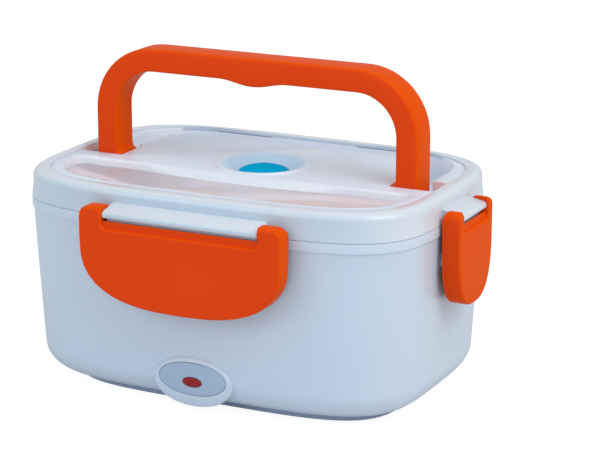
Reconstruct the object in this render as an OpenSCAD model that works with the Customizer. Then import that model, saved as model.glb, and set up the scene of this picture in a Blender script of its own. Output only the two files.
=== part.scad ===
// Electric lunch box: a heated base with a lift-out food container and side dish box, and a lid
// with four snap latches, a fold-down carry handle, a covered spoon tray and a silicone vent plug.
// Origin at the centre of the footprint on the table, +X along the length, -Y to the front, +Z up.

/* [Body] */
// Length of the body at its rim, without the latches
body_l = 215; // [205:1:250]
// Width of the body at its rim, without the latches
body_w = 146; // [140:1:170]
// Height of the body's rim above the table
rim_z = 97; // [92:1:120]
// Squareness of the plan outline, the exponent of a superellipse
corner_n = 4.2; // [3.8:0.1:4.8]
// Wall of the outer shell
wall = 2.4; // [2:0.1:3]
// How far each side leans in from the rim to the bottom edge
draft = 3.4; // [2.4:0.1:5]
// Radius of the rounded bottom edge
bottom_r = 15; // [12:0.5:17]
// Height of the raised band under the rim
band_h = 5.2; // [4:0.1:8]
// How far the band stands out of the wall
band_d = 0.7; // [0.4:0.1:1]
// Width of the flange that turns in under the shell
lip_w = 5; // [4:0.5:7]

/* [Base cover and feet] */
// Height of the base cover under the shell
plinth_h = 3.8; // [3.4:0.1:6]
// Step from the shell's bottom edge in to the base cover
plinth_step = 1; // [0.5:0.1:2]
// Wall and floor of the base cover
cover_t = 2; // [1.6:0.1:2.4]
// Radius of a rubber foot
foot_r = 6; // [5:0.5:7]
// How far a rubber foot stands out below the base cover
foot_h = 1.2; // [0.8:0.1:3]
// Depth of the seat that holds a foot
foot_seat = 0.8; // [0.6:0.1:1]
// Radius of a base screw's shank
screw_r = 1.5; // [1.25:0.05:1.75]
// Length of a base screw under its head
screw_l = 9; // [7:0.5:10]
// Radius of a base screw's head
screw_head_r = 2.9; // [2.6:0.1:3.2]

/* [Well and heater] */
// Height of the well's floor above the table
floor_z = 31; // [30:0.5:36]
// Air gap between the shell and the well at the rim
air_gap = 2; // [1.6:0.1:3]
// Wall of the well
well_t = 1.6; // [1.2:0.1:2]
// How far each side of the well leans in from top to bottom
well_draft = 3.4; // [2.4:0.1:4.4]
// Radius of the heating plate
plate_r = 51; // [46:1:54]
// Thickness of the heating plate
plate_t = 1.2; // [0.8:0.1:1.6]
// Thickness of the silicone gasket under the plate
gasket_t = 1; // [0.8:0.1:1.5]
// Length of the heater block
heater_l = 60; // [50:1:66]
// Width of the heater block
heater_w = 34; // [28:1:40]
// Height of the heater block
heater_h = 6.5; // [5:0.5:8]
// Thickness of the heater clamp
clamp_t = 1.2; // [1:0.1:1.6]
// Width of the heater clamp
clamp_w = 14; // [10:1:18]
// Radius of a stud under the plate
stud_r = 2; // [1.5:0.1:2.2]

/* [Food container and side dish box] */
// Wall of the food container
food_t = 1.5; // [1.2:0.1:2]
// How far the container's rim bead stands out
bead_w = 1.6; // [1.2:0.1:2.2]
// Clearance between the container's bead and the well
food_gap = 0.8; // [0.6:0.1:1.2]
// Wall of the side dish box
dish_t = 1.4; // [1.2:0.1:1.8]
// Clearance between the side dish box and the container
dish_gap = 0.8; // [0.6:0.1:1.2]
// Place of the side dish box's inner wall along the length
divider_x = -28; // [-40:1:-15]
// Radius of the two corners beside that wall
divider_r = 8; // [5:0.5:12]
// How far the side dish box stays below the container's rim
dish_drop = 2.2; // [1:0.1:6]

/* [Lid] */
// Height of the lid's top above the body's rim
lid_h = 14.3; // [13.5:0.1:17]
// Gap between the lid's skirt and the body's rim
lid_gap = 0.3; // [0.2:0.1:0.6]
// Radius of the lid's rounded top edge
lid_edge_r = 4; // [3:0.1:5]
// Wall of the lid's white ring
ring_t = 2.1; // [1.8:0.1:2.4]
// Width of the white ring seen from above
ring_w = 7.6; // [7:0.1:8.4]
// How far the top panel lies below the ring
deck_drop = 0.7; // [0.5:0.1:1]
// Thickness of the top panel
deck_t = 1.8; // [1.5:0.1:1.8]
// Wall of the troughs and trays moulded into the top panel
pan_t = 1.6; // [1.2:0.1:1.8]
// Wall of the inner lid
liner_t = 1.6; // [1.4:0.1:1.9]
// Width of the silicone seal
seal_w = 3; // [2.4:0.1:3.4]
// Height of the silicone seal
seal_h = 2.3; // [1.8:0.1:3]

/* [Spoon tray] */
// Radius of the rear edge of the recess floor, at the foot of the ridge
ridge_r = 344; // [300:1:400]
// Distance of the ridge's top edge from the lid's centre
ridge_y = 18.2; // [18:0.1:20]
// Distance of the ridge's foot from the lid's centre, at its middle
ridge_foot = 22.6; // [21:0.1:24]
// Distance of the recess from the lid's outline
recess_in = 13.4; // [10:0.1:14]
// Depth of the recess above the spoon cover
recess_d = 4.1; // [3:0.1:4.5]
// Thickness of the spoon cover
spoon_cover_t = 1.6; // [1.2:0.1:2]
// Depth of the spoon tray under its cover
tray_d = 7.9; // [7:0.1:8.5]
// Width of the seat round the tray that carries the cover
tray_seat = 2.2; // [1.5:0.1:3]
// Half the length of the thumb tab on the spoon cover
tab_half_l = 16; // [12:0.5:20]
// Depth of the thumb tab from front to back
tab_w = 7.5; // [5:0.5:10]
// Place of the thumb tab along the length
tab_x = -5.5; // [-10:0.5:10]

/* [Vent] */
// Place of the vent behind the lid's centre
vent_y = 6.6; // [4:0.1:8]
// Radius of the raised ring round the vent
vent_r = 24.4; // [22:0.1:25]
// Height of that ring above the top panel
vent_lip_h = 0.9; // [0.6:0.1:1.2]
// Width of that ring
vent_lip_w = 4.8; // [3.5:0.1:5.5]
// Depth of the dish below the top panel
vent_d = 5.6; // [4.5:0.1:6]
// Radius of the vent plug
plug_r = 13.4; // [11:0.1:14]
// Height of the vent plug's crown
plug_h = 4.9; // [4:0.1:5.2]
// Radius of the vent plug's stem
stem_r = 4.6; // [3.5:0.1:5.5]
// Length of the vent plug's stem
stem_l = 5; // [4:0.1:6]

/* [Handle] */
// Half the length of the handle over its legs
handle_half_l = 90.2; // [86:0.1:92]
// Space between the folded handle's trough and the ring of the lid
fold_margin = 0.05; // [0.05:0.05:5]
// Thickness of the legs along the length, and of the grip in height
handle_w = 11.8; // [10:0.1:13]
// Thickness of the handle from front to back
handle_t = 17.3; // [15:0.1:17.6]
// Place of the handle behind the lid's centre
handle_y = 2; // [0:0.1:2.5]
// Radius of the handle's outer corners
handle_outer_r = 33.6; // [28:0.1:38]
// Radius of the handle's inner corners
handle_inner_r = 21; // [16:0.1:26]
// Bevel along the handle's edges
handle_edge = 1.2; // [0.6:0.1:1.6]
// How far the palm swell stands out under the grip
swell_d = 2.7; // [1.5:0.1:4]
// Half the length of the palm swell
swell_half_l = 19.5; // [15:0.5:26]
// How far each leg widens at its foot
foot_flare = 2.3; // [1.5:0.1:3]
// Radius of the handle's pivot pins
handle_pin_r = 2.6; // [2:0.1:3.2]
// Height of the folded handle's back above the lid
fold_proud = 1.7; // [1:0.1:3]
// Clearance round the folded handle in its trough
trough_gap = 0.8; // [0.6:0.1:1]

/* [Latches] */
// Half the width of the front and back latches
long_half_w = 54.7; // [48:0.1:60]
// Half the width of the side latches
short_half_w = 21.2; // [19:0.1:26]
// Width of an ear on the front and back latches
long_ear_w = 12.3; // [10:0.1:14]
// Width of an ear on the side latches
short_ear_w = 5.4; // [5:0.1:7]
// Distance of the latches' pins from the lid's outline
pin_out = 6.6; // [6.5:0.1:7.5]
// Depth of the latches' pins below the lid's top
pin_drop = 10.9; // [10.2:0.1:11.5]
// Radius of the latches' pins
pin_r = 2; // [1.6:0.1:2.2]
// Running clearance round a pin
pin_fit = 0.1; // [0.05:0.01:0.15]
// Depth of a latch from its face to its edges
latch_d = 9.5; // [9:0.1:10]
// Distance of a latch's face from its pin
latch_face = 5.2; // [5:0.1:6]
// Wall of a latch
latch_t = 2.2; // [1.8:0.1:2.4]
// Distance of a latch's bottom edge below its pin
latch_l = 45.4; // [42:0.1:48]
// Height of a latch's rounded lower part
latch_round = 31.7; // [26:0.1:34]
// Squareness of that lower part
latch_n = 2.6; // [2.2:0.1:3.2]
// Height of the ears above the pin
ear_h = 4.1; // [3.8:0.1:4.4]
// Depth of the notch between the ears below the pin
notch_h = 6.8; // [6:0.1:8]
// Distance of the catch's underside below the pin
catch_drop = 20.4; // [18:0.1:24]
// Height of a catch rib on the shell
catch_h = 2.2; // [1.6:0.1:3]
// How far a catch rib stands out of the shell
catch_d = 1.8; // [1.2:0.1:2]
// Gap between a latch's hook and the face of its catch
hook_gap = 0.21; // [0.15:0.01:0.4]

/* [Indicator and power inlet] */
// Half the width of the indicator panel
panel_half_w = 18.3; // [16:0.1:19]
// Half the height of the indicator panel
panel_half_h = 8.2; // [7:0.1:8.8]
// Height of the indicator panel's centre above the table
panel_z = 19.4; // [18.5:0.1:20.5]
// Half the width of the boss round the panel
boss_half_w = 21.5; // [20.5:0.1:24]
// How far the boss stands out of the body at its bottom edge
boss_out = 2; // [1.2:0.1:3]
// Thickness of the indicator panel
panel_t = 1; // [0.8:0.1:1.4]
// Width of the indicator lens
lens_w = 10.2; // [8:0.1:12]
// Height of the indicator lens
lens_h = 5; // [4:0.1:6]
// Distance of the inlet's two pins from each other
inlet_pitch = 8.6; // [8:0.1:9]
// Radius of an inlet pin
inlet_pin_r = 1.2; // [1:0.05:1.4]
// Length of an inlet pin in its socket
inlet_pin_l = 9; // [7:0.1:9.5]
// Depth of the inlet's socket
socket_d = 11; // [10.5:0.1:13]

/* [Hidden] */

plan_steps = 64;
round_fn = 64;
close_fit = 0.15;
rest_gap = 0.2;
cut = 1;

lid_z = rim_z + lid_gap;
lid_top_z = rim_z + lid_h;
lip_z = lid_top_z - ring_t;
deck_z = lid_top_z - deck_drop;
skirt_lean = 6.5;

handle_pin_z = lid_top_z + fold_proud - handle_t / 2;
handle_top = body_w / 2 - ring_w - trough_gap - fold_margin - handle_y;
trough_z = handle_pin_z - handle_t / 2 - 0.45;
handle_pin_l = 12;
handle_low = lid_top_z - handle_pin_z - 1;
flare_top = handle_low + 3.2;
foot_in = handle_half_l - handle_w - foot_flare;
pocket_x = body_l / 2 - ring_w - 0.3;

cover_top_z = deck_z - recess_d;
cover_seat_z = cover_top_z - spoon_cover_t;
tray_z = cover_seat_z - tray_d;
ridge_steps = 24;
ridge_line = [for (k = [-ridge_steps : ridge_steps]) let (x = k * body_l / 2 / ridge_steps)
    [x, min(-ridge_y, ridge_r - ridge_foot - sqrt(ridge_r * ridge_r - x * x))]];

liner_top_z = min(trough_z, tray_z) - pan_t - 0.3;
liner_z = liner_top_z - liner_t;
liner_rise = 3.4;
liner_h = rim_z - liner_z + liner_rise;
liner_hole_r = 4;
liner_in = ring_t + close_fit;

base_z = foot_h + plinth_h;
seat_in = 1.4;
flange_t = 1.6;
ledge_z = liner_z - 0.5 - flange_t;
ledge_in = wall + 0.2;

well_in = ledge_in + air_gap + well_t;
well_top_z = ledge_z + flange_t;
seal_groove = 0.8;
seal_in = well_in + 1.7;
seal_z = liner_z + seal_groove - seal_h;
plate_z = floor_z + gasket_t;
plate_top_z = plate_z + plate_t;
plate_hole_r = plate_r - 5;
heater_z = plate_z - heater_h;
clamp_z = heater_z - clamp_t;
stud_x = heater_l / 2 + 8;
nut_t = 2;
nut_r = stud_r * 2;

food_z = plate_top_z + rest_gap;
food_top_z = seal_z - rest_gap;
dish_z = food_z + food_t + rest_gap;
dish_top_z = food_top_z - dish_drop;

vent_floor_z = deck_z - vent_d;
vent_crest = 1.6;

pin_z = lid_top_z - pin_drop;
long_pin_l = 7;
short_pin_l = 4;
bar_gap = 0.4;
rib_end = 4.5;
rib_drop = 6;
web_face = 3.4;
web_t = 1.6;
web_drop = 4.1;
ear_r = 5.5;
ear_edge = 2.6;
notch_r = 3;
catch_z = pin_z - catch_drop;
catch_end = 12;
short_catch_end = 6;

boss_half_h = 13.1;
boss_z = base_z + boss_half_h + 0.1;
boss_y = body_w / 2 - draft + boss_out;
boss_deep = bottom_r + boss_out - 1;
boss_short = boss_out + wall + 1.9;
boss_gap = 0.9;
panel_seat = 0.8;
board_t = 1.6;
board_l = 28;
board_h = 11;
board_drop = 6;
lens_drop = 1.6;
board_y = boss_y - wall - 2.3;
socket_r = 4.2;
inlet_wall = 1.9;
inlet_l = 18.5;
inlet_z = 20.5;
inlet_deep = bottom_r - 1;
inlet_short = wall + 2.6;
inlet_y = body_w / 2 - draft + 1;
inlet_boss_half = [18, 12.4];

white = [0.86, 0.91, 0.95];
panel_white = [0.84, 0.84, 0.89];
tray_white = [0.9, 0.92, 0.94];
orange = [0.87, 0.27, 0.09];
plug_blue = [0.0, 0.63, 0.82];
dark_base = [0.42, 0.47, 0.54];
panel_grey = [0.6, 0.69, 0.8];
steel = [0.72, 0.73, 0.75];
rubber = [0.2, 0.21, 0.23];
silicone = [0.88, 0.87, 0.84];

// Outline of the lunch box in plan, drawn in by an inset, as points counter-clockwise.
function signed_pow(v, e) = sign(v) * pow(abs(v), e);
function plan_point(inset, t) = [
    (body_l / 2 - inset) * signed_pow(cos(t), 2 / corner_n),
    (body_w / 2 - inset) * signed_pow(sin(t), 2 / corner_n)
];
function plan(inset) = [for (i = [0 : plan_steps - 1]) plan_point(inset, 360 * i / plan_steps)];

// Points on an arc about c, from angle a0 to angle a1.
function arc(c, r, a0, a1, steps) = [
    for (i = [0 : steps]) let (a = a0 + (a1 - a0) * i / steps) c + r * [cos(a), sin(a)]
];

// Inset of the shell's outer face and of the well's inner face at a height.
function shell_inset(z) = draft * (rim_z - band_h - z) / (rim_z - band_h - base_z - bottom_r);
function well_inset(z) = well_in + well_draft * (well_top_z - z) / (well_top_z - floor_z);

// Outline of the side dish box: the left end of the plan, closed by a wall with rounded corners.
dish_in = well_inset(food_top_z) + food_gap + bead_w + food_t + dish_gap;
dish_steps = 36;
dish_corner_steps = 4;
function dish_plan(inset) =
    let (
        a = body_l / 2 - inset,
        b = body_w / 2 - inset,
        wall_x = divider_x - (inset - dish_in),
        x = wall_x - divider_r,
        t0 = acos(-pow(-x / a, corner_n / 2)),
        y = b * pow(sin(t0), 2 / corner_n) - divider_r
    )
    concat(
        [for (i = [0 : dish_steps]) plan_point(inset, t0 + (360 - 2 * t0) * i / dish_steps)],
        [for (i = [1 : dish_corner_steps]) let (t = -90 + 90 * i / dish_corner_steps)
            [x + divider_r * cos(t), -y + divider_r * sin(t)]],
        [for (i = [0 : dish_corner_steps - 1]) let (t = 90 * i / dish_corner_steps)
            [x + divider_r * cos(t), y + divider_r * sin(t)]]
    );

// Solid skinned over rings of points, each counter-clockwise about the way to the next one.
// A closed skin joins its last ring to its first, as the section of an open tub does.
module skin(rings, closed = false) {
    count = len(rings[0]);
    last = len(rings) - 1;
    sides = [
        for (i = [0 : closed ? last : last - 1]) for (k = [0 : count - 1])
            let (a = i * count, b = (i + 1) % (last + 1) * count, m = (k + 1) % count)
                each [[a + k, b + k, b + m], [a + k, b + m, a + m]]
    ];
    first_cap = [for (k = [0 : count - 1]) k];
    last_cap = [for (k = [count - 1 : -1 : 0]) last * count + k];
    polyhedron([for (ring = rings) each ring],
        closed ? sides : concat(sides, [first_cap, last_cap]), convexity = 8);
}

// Solid through a stack of outlines. Each row is [inset, height].
module loft(rows, closed = false, outline = function(inset) plan(inset)) {
    skin([for (row = rows) [for (p = outline(row[0])) [p[0], p[1], row[1]]]], closed);
}

// A flat shape raised from one height to another.
module slab(z0, z1) {
    translate([0, 0, z0]) linear_extrude(z1 - z0) children();
}

// A flat shape drawn in X and Z, standing between two places along Y.
module upright(y0, y1) {
    translate([0, y1, 0]) rotate([90, 0, 0]) linear_extrude(y1 - y0) children();
}

// A flat shape drawn in Y and Z, standing between two places along X.
module crosswise(x0, x1) {
    translate([x0, 0, 0]) rotate([90, 0, 90]) linear_extrude(x1 - x0) children();
}

// An oval with square shoulders, and a slot with round ends, both centred.
module oval(half_w, half_h) {
    polygon([for (t = [0 : 7.5 : 352.5])
        [half_w * signed_pow(cos(t), 0.85), half_h * signed_pow(sin(t), 0.85)]]);
}

module slot(l, h) {
    square([l - h, h], center = true);
    for (s = [-1, 1]) translate([s * (l - h) / 2, 0]) circle(d = h, $fn = round_fn);
}

// A copy at each of the four places (x, y), (-x, y), (x, -y) and (-x, -y).
module at_four(p) {
    for (sx = [-1, 1], sy = [-1, 1]) translate([sx * p[0], sy * p[1], 0]) children();
}

screw_at = plan_point(draft + bottom_r + lip_w + 2.1, 42);
foot_at = screw_at - [screw_head_r + foot_r + 5, 1];
screw_seat_z = foot_h + 1.8;
screw_boss_r = screw_r + 3;

// Outer shell with its catch ribs, indicator boss, inlet boss and screw bosses.
module catch_rib(half_w, depth) {
    face = depth - shell_inset(catch_z) + catch_d;
    root = face - catch_d - wall / 2;
    upright(-face, -root) {
        translate([-half_w, catch_z]) square([2 * half_w, catch_h]);
        for (s = [-1, 1]) translate([s * (half_w - 0.8) - 0.8, catch_z - 4]) square([1.6, 4 + catch_h / 2]);
    }
}

// Block of a boss behind its front at Y = 0: deep under the inner well and short beside it.
module boss_block(deep, short) {
    upright(0, short) children();
    upright(0, deep) intersection() {
        children();
        translate([-body_l / 2, 0]) square([body_l, floor_z - well_t - boss_gap]);
    }
}

module outer_shell() {
    corner = [draft + bottom_r, base_z + bottom_r];
    color(white) difference() {
        union() {
            loft(concat(
                arc(corner, bottom_r, 270, 180, 6),
                [[0, rim_z - band_h], [-band_d, rim_z - band_h + 0.3], [-band_d, rim_z]],
                [[seat_in, rim_z], [seat_in, ledge_z], [ledge_in, ledge_z]],
                arc(corner, bottom_r - wall, 180, 270, 4),
                [[draft + bottom_r + lip_w, base_z + wall], [draft + bottom_r + lip_w, base_z]]
            ), closed = true);
            for (turn = [0, 180]) rotate(turn) catch_rib(long_half_w - catch_end, body_w / 2);
            for (turn = [90, 270]) rotate(turn) catch_rib(short_half_w - short_catch_end, body_l / 2);
            translate([0, -boss_y, 0]) boss_block(boss_deep, boss_short)
                translate([0, boss_z]) oval(boss_half_w, boss_half_h);
            rotate(180) translate([0, -inlet_y, 0]) boss_block(inlet_deep, inlet_short)
                translate([0, inlet_z]) oval(inlet_boss_half[0], inlet_boss_half[1]);
            at_four(screw_at) slab(base_z, base_z + screw_l + 2) circle(screw_boss_r, $fn = round_fn);
        }
        upright(-boss_y + wall, -boss_y + boss_deep + cut)
            translate([0, panel_z]) oval(panel_half_w, panel_half_h);
        upright(-boss_y - cut, -boss_y + panel_seat)
            translate([0, panel_z]) oval(panel_half_w + close_fit, panel_half_h + close_fit);
        upright(-boss_y - cut, -boss_y + wall + cut)
            translate([0, panel_z - lens_drop]) slot(lens_w + 0.2, lens_h + 0.2);
        upright(inlet_y - inlet_deep - cut, inlet_y + cut)
            translate([0, inlet_z]) slot(inlet_pitch + 2 * (socket_r + inlet_wall) + 0.2,
                2 * (socket_r + inlet_wall) + 0.2);
        at_four(screw_at) slab(base_z - cut, base_z + screw_l) circle(screw_r + pin_fit, $fn = round_fn);
    }
}

// Inner well, hung by its flange on the shell's ledge, with the opening for the heating plate.
module inner_well() {
    bottom = well_in + well_draft;
    color(tray_white) difference() {
        loft([
            [bottom - well_t + 5, floor_z - well_t], [bottom - well_t + 1.3, floor_z - well_t + 1.2],
            [bottom - well_t, floor_z + 4], [well_in - well_t, ledge_z],
            [seat_in + close_fit, ledge_z], [seat_in + close_fit, well_top_z],
            [well_in, well_top_z], [bottom, floor_z + 5],
            [bottom + 1.5, floor_z + 1.4], [bottom + 5, floor_z]
        ]);
        slab(floor_z - well_t - cut, floor_z + cut) circle(plate_hole_r, $fn = round_fn);
    }
}

// Heating plate with the two studs that hold the heater up against it.
module heating_plate() {
    color(steel) {
        slab(plate_z, plate_top_z) circle(plate_r, $fn = round_fn);
        for (s = [-1, 1]) translate([s * stud_x, 0])
            slab(clamp_z - nut_t - 1.5, plate_z) circle(stud_r, $fn = round_fn);
    }
}

module plate_gasket() {
    color(silicone) slab(floor_z, plate_z) difference() {
        circle(plate_r - 0.5, $fn = round_fn);
        circle(plate_hole_r + 0.5, $fn = round_fn);
    }
}

module ptc_heater() {
    fin = 3;
    color([0.78, 0.79, 0.8]) difference() {
        slab(heater_z, plate_z) square([heater_l, heater_w], center = true);
        for (x = [-heater_l / 2 + 2 * fin : 2 * fin : heater_l / 2 - 2 * fin], s = [-1, 1])
            translate([x, s * heater_w / 2, heater_z - cut])
                linear_extrude(heater_h / 2) square([fin / 2, fin], center = true);
    }
}

module heater_clamp() {
    strap_l = 2 * (stud_x + 6);
    color([0.62, 0.64, 0.67]) slab(clamp_z, heater_z) difference() {
        slot(strap_l, clamp_w);
        for (s = [-1, 1]) translate([s * stud_x, 0]) circle(stud_r + pin_fit, $fn = round_fn);
    }
}

module clamp_nuts() {
    color(steel) for (s = [-1, 1]) translate([s * stud_x, 0])
        slab(clamp_z - nut_t, clamp_z) difference() {
            circle(nut_r, $fn = 6);
            circle(stud_r + pin_fit / 2, $fn = round_fn);
        }
}

fuse_r = 2;
fuse_at = [0, heater_w / 2 + fuse_r + 0.1, heater_z + heater_h / 2];
module thermal_fuse() {
    color([0.85, 0.82, 0.72]) translate(fuse_at) rotate([0, 90, 0]) {
        cylinder(h = 12, r = fuse_r, center = true, $fn = round_fn);
        cylinder(h = 20, r = 0.6, center = true, $fn = round_fn);
    }
}

// Two-pin appliance inlet at the back, with its socket open to the rear.
module power_inlet() {
    body_h = 2 * (socket_r + inlet_wall);
    color([0.13, 0.14, 0.15]) difference() {
        union() {
            upright(inlet_y - inlet_l, inlet_y + 0.6)
                translate([0, inlet_z]) slot(inlet_pitch + body_h, body_h);
            upright(inlet_y, inlet_y + 1.2)
                translate([0, inlet_z]) slot(inlet_pitch + body_h + 4, body_h + 4);
        }
        upright(inlet_y + 1.2 - socket_d, inlet_y + 1.2 + cut)
            translate([0, inlet_z]) slot(inlet_pitch + 2 * socket_r, 2 * socket_r);
        for (s = [-1, 1]) upright(inlet_y - inlet_l - cut, inlet_y)
            translate([s * inlet_pitch / 2, inlet_z]) circle(inlet_tail_r, $fn = round_fn);
    }
}

inlet_floor_y = inlet_y + 1.2 - socket_d;
inlet_tail = 5;
inlet_tail_r = inlet_pin_r - 0.3;
module inlet_pins() {
    color([0.82, 0.78, 0.62]) for (s = [-1, 1]) translate([s * inlet_pitch / 2, 0]) {
        upright(inlet_floor_y, inlet_floor_y + inlet_pin_l)
            translate([0, inlet_z]) circle(inlet_pin_r, $fn = round_fn);
        upright(inlet_y - inlet_l - inlet_tail, inlet_floor_y + inlet_pin_l / 2)
            translate([0, inlet_z]) circle(inlet_tail_r, $fn = round_fn);
    }
}

// Wires along chosen points, each a tube of eight sides with one ring at each point.
wire_r = 1.1;
wire_sides = 8;
tail_y = inlet_y - inlet_l - inlet_tail;
wire_z = inlet_z;
board_wire_y = -board_y + board_t;
board_wire_x = board_l / 2 - 4;
function unit(v) = v / norm(v);
function wire_ring(route, i) =
    let (
        last = len(route) - 1,
        along = unit(route[min(i + 1, last)] - route[max(i - 1, 0)]),
        side = unit(cross(along, [0, 0, 1])),
        up = cross(side, along)
    )
    [for (k = [0 : wire_sides - 1]) let (t = -360 * k / wire_sides)
        route[i] + wire_r * (cos(t) * side + sin(t) * up)];

module wire(route) {
    skin([for (i = [0 : len(route) - 1]) wire_ring(route, i)]);
}

module inner_wiring() {
    pin_x = inlet_pitch / 2;
    heater_end = heater_l / 2;
    fuse_y = fuse_at[1];
    color([0.75, 0.12, 0.1]) {
        wire([
            [-pin_x, tail_y, wire_z], [-pin_x, tail_y - 2, wire_z],
            [-pin_x - 5, tail_y - 8, wire_z - 1], [-16, fuse_y + 5, wire_z + 2],
            [-14, fuse_y, fuse_at[2]], [-10, fuse_y, fuse_at[2]]
        ]);
        wire([
            [pin_x, tail_y, wire_z], [pin_x, tail_y - 2, wire_z], [pin_x + 8, tail_y - 7, wire_z - 2],
            [heater_end, heater_w / 2 + 6, wire_z - 2], [heater_end + 4, heater_w / 2 - 6, wire_z + 2],
            [heater_end + 3, heater_w / 4, heater_z + 3], [heater_end, heater_w / 4, heater_z + 3]
        ]);
        for (s = [-1, 1]) wire([
            [s * board_wire_x, board_wire_y, panel_z - 2],
            [s * board_wire_x, board_wire_y + 2, panel_z - 2],
            [s * board_l / 2, -heater_w / 2 - 12, wire_z - 4],
            [s * (heater_end + 1), -heater_w / 2 - 5, wire_z],
            [s * (heater_end + 4), -heater_w / 2 + 5, heater_z + 2],
            [s * (heater_end + 3), -heater_w / 4, heater_z + 3],
            [s * heater_end, -heater_w / 4, heater_z + 3]
        ]);
    }
}

// Indicator: a board with a small lamp behind the lens, and the oval panel round the lens.
module indicator_board() {
    lamp_r = 1.9;
    lamp_h = 1.8;
    standoff_r = 1.6;
    color([0.2, 0.45, 0.28]) {
        upright(-board_y, -board_y + board_t)
            translate([-board_l / 2, panel_z - board_drop]) square([board_l, board_h]);
        upright(-board_y - lamp_h, -board_y)
            translate([0, panel_z - lens_drop]) circle(lamp_r, $fn = round_fn);
        for (s = [-1, 1]) upright(-boss_y + wall, -board_y)
            translate([s * (board_l / 2 - 3), panel_z]) circle(standoff_r, $fn = round_fn);
    }
}

module indicator_lens() {
    color([0.73, 0.11, 0.13]) {
        upright(-boss_y - 0.5, -boss_y + wall + 0.1)
            translate([0, panel_z - lens_drop]) slot(lens_w, lens_h);
        upright(-boss_y + wall, -boss_y + wall + 0.5)
            translate([0, panel_z - lens_drop]) slot(lens_w + 2, lens_h + 2);
    }
}

module indicator_panel() {
    color(panel_grey) upright(-boss_y + panel_seat - panel_t, -boss_y + panel_seat)
        difference() {
            translate([0, panel_z]) oval(panel_half_w, panel_half_h);
            translate([0, panel_z - lens_drop]) slot(lens_w + 0.2, lens_h + 0.2);
        }
}

// Base cover: a shallow dark pan that closes the shell from below.
module base_cover() {
    outer = draft + bottom_r + plinth_step;
    color(dark_base) difference() {
        union() {
            difference() {
                slab(foot_h, base_z) polygon(plan(outer));
                slab(foot_h + cover_t, base_z + cut) polygon(plan(outer + cover_t));
            }
            at_four(screw_at) slab(foot_h, base_z) circle(screw_boss_r, $fn = round_fn);
            for (x = [-30, 0, 30]) translate([x, 0])
                slab(foot_h, base_z) square([1.6, body_w - 2 * outer - 2], center = true);
        }
        at_four(screw_at) {
            slab(foot_h - cut, base_z + cut) circle(screw_r + 0.2, $fn = round_fn);
            slab(foot_h - cut, screw_seat_z) circle(screw_head_r + 0.3, $fn = round_fn);
        }
        at_four(foot_at) slab(foot_h - cut, foot_h + foot_seat) circle(foot_r + close_fit, $fn = round_fn);
    }
}

module rubber_feet() {
    color(rubber) at_four(foot_at) rotate_extrude($fn = round_fn) polygon([
        [0, 0], [foot_r - 0.8, 0], [foot_r, 0.5], [foot_r, foot_h + foot_seat], [0, foot_h + foot_seat]
    ]);
}

module base_screws() {
    head_h = 1.6;
    color(steel) at_four(screw_at) difference() {
        union() {
            slab(screw_seat_z, screw_seat_z + screw_l) circle(screw_r, $fn = round_fn);
            slab(screw_seat_z - head_h, screw_seat_z) circle(screw_head_r, $fn = round_fn);
        }
        for (turn = [0, 90]) rotate(turn)
            slab(screw_seat_z - head_h - cut, screw_seat_z - 0.7) square([0.8, 3], center = true);
    }
}

// Food container: a tapered tub that stands on the heating plate.
module food_container() {
    top = well_inset(food_top_z) + food_gap + bead_w;
    bottom = well_in + well_draft + food_gap + bead_w;
    color(tray_white) loft([
        [bottom + 6, food_z], [bottom + 1.8, food_z + 1.2], [bottom, food_z + 5.5],
        [top, food_top_z - 3.2], [top - bead_w, food_top_z - 2.8], [top - bead_w, food_top_z],
        [top + food_t, food_top_z], [bottom + food_t, food_z + 6.5],
        [bottom + food_t + 2, food_z + 3], [bottom + food_t + 6.5, food_z + food_t]
    ]);
}

// Side dish box: fills the left end of the food container and lifts out by itself.
module side_dish_box() {
    bottom = well_in + well_draft + food_gap + bead_w + food_t + dish_gap;
    color([0.93, 0.94, 0.95]) loft([
        [bottom + 8, dish_z], [bottom + 3.6, dish_z + 1.4], [bottom + 0.6, dish_z + 6.5],
        [dish_in, dish_top_z], [dish_in + dish_t, dish_top_z],
        [bottom + dish_t + 0.6, dish_z + 7.5], [bottom + dish_t + 3.6, dish_z + 3.4],
        [bottom + dish_t + 8.5, dish_z + dish_t]
    ], outline = function(inset) dish_plan(inset));
}

// Bar on the lid's skirt that carries one latch, about its pin axis, with the outside at -Y.
module hinge_bar(half_l, pin_l) {
    crosswise(-half_l, half_l) polygon([
        [pin_out + 1, -1.9], [-2.9, -1.7], [-3.8, -1.1], [-4.1, -0.2],
        [-3.9, 1.2], [-3.2, 2], [pin_out - 0.4, 4], [pin_out + 1, 4.2]
    ]);
    crosswise(rib_end - half_l, half_l - rib_end) polygon([
        [-0.6, -1.75], [-0.6, -rib_drop], [1.2, -rib_drop], [1.2, -1.75]
    ]);
    crosswise(-half_l - pin_l, half_l + pin_l) circle(pin_r, $fn = round_fn);
}

module at_long_pin() translate([0, -body_w / 2 - pin_out, pin_z]) children();
module at_short_pin() translate([0, -body_l / 2 - pin_out, pin_z]) children();

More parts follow.
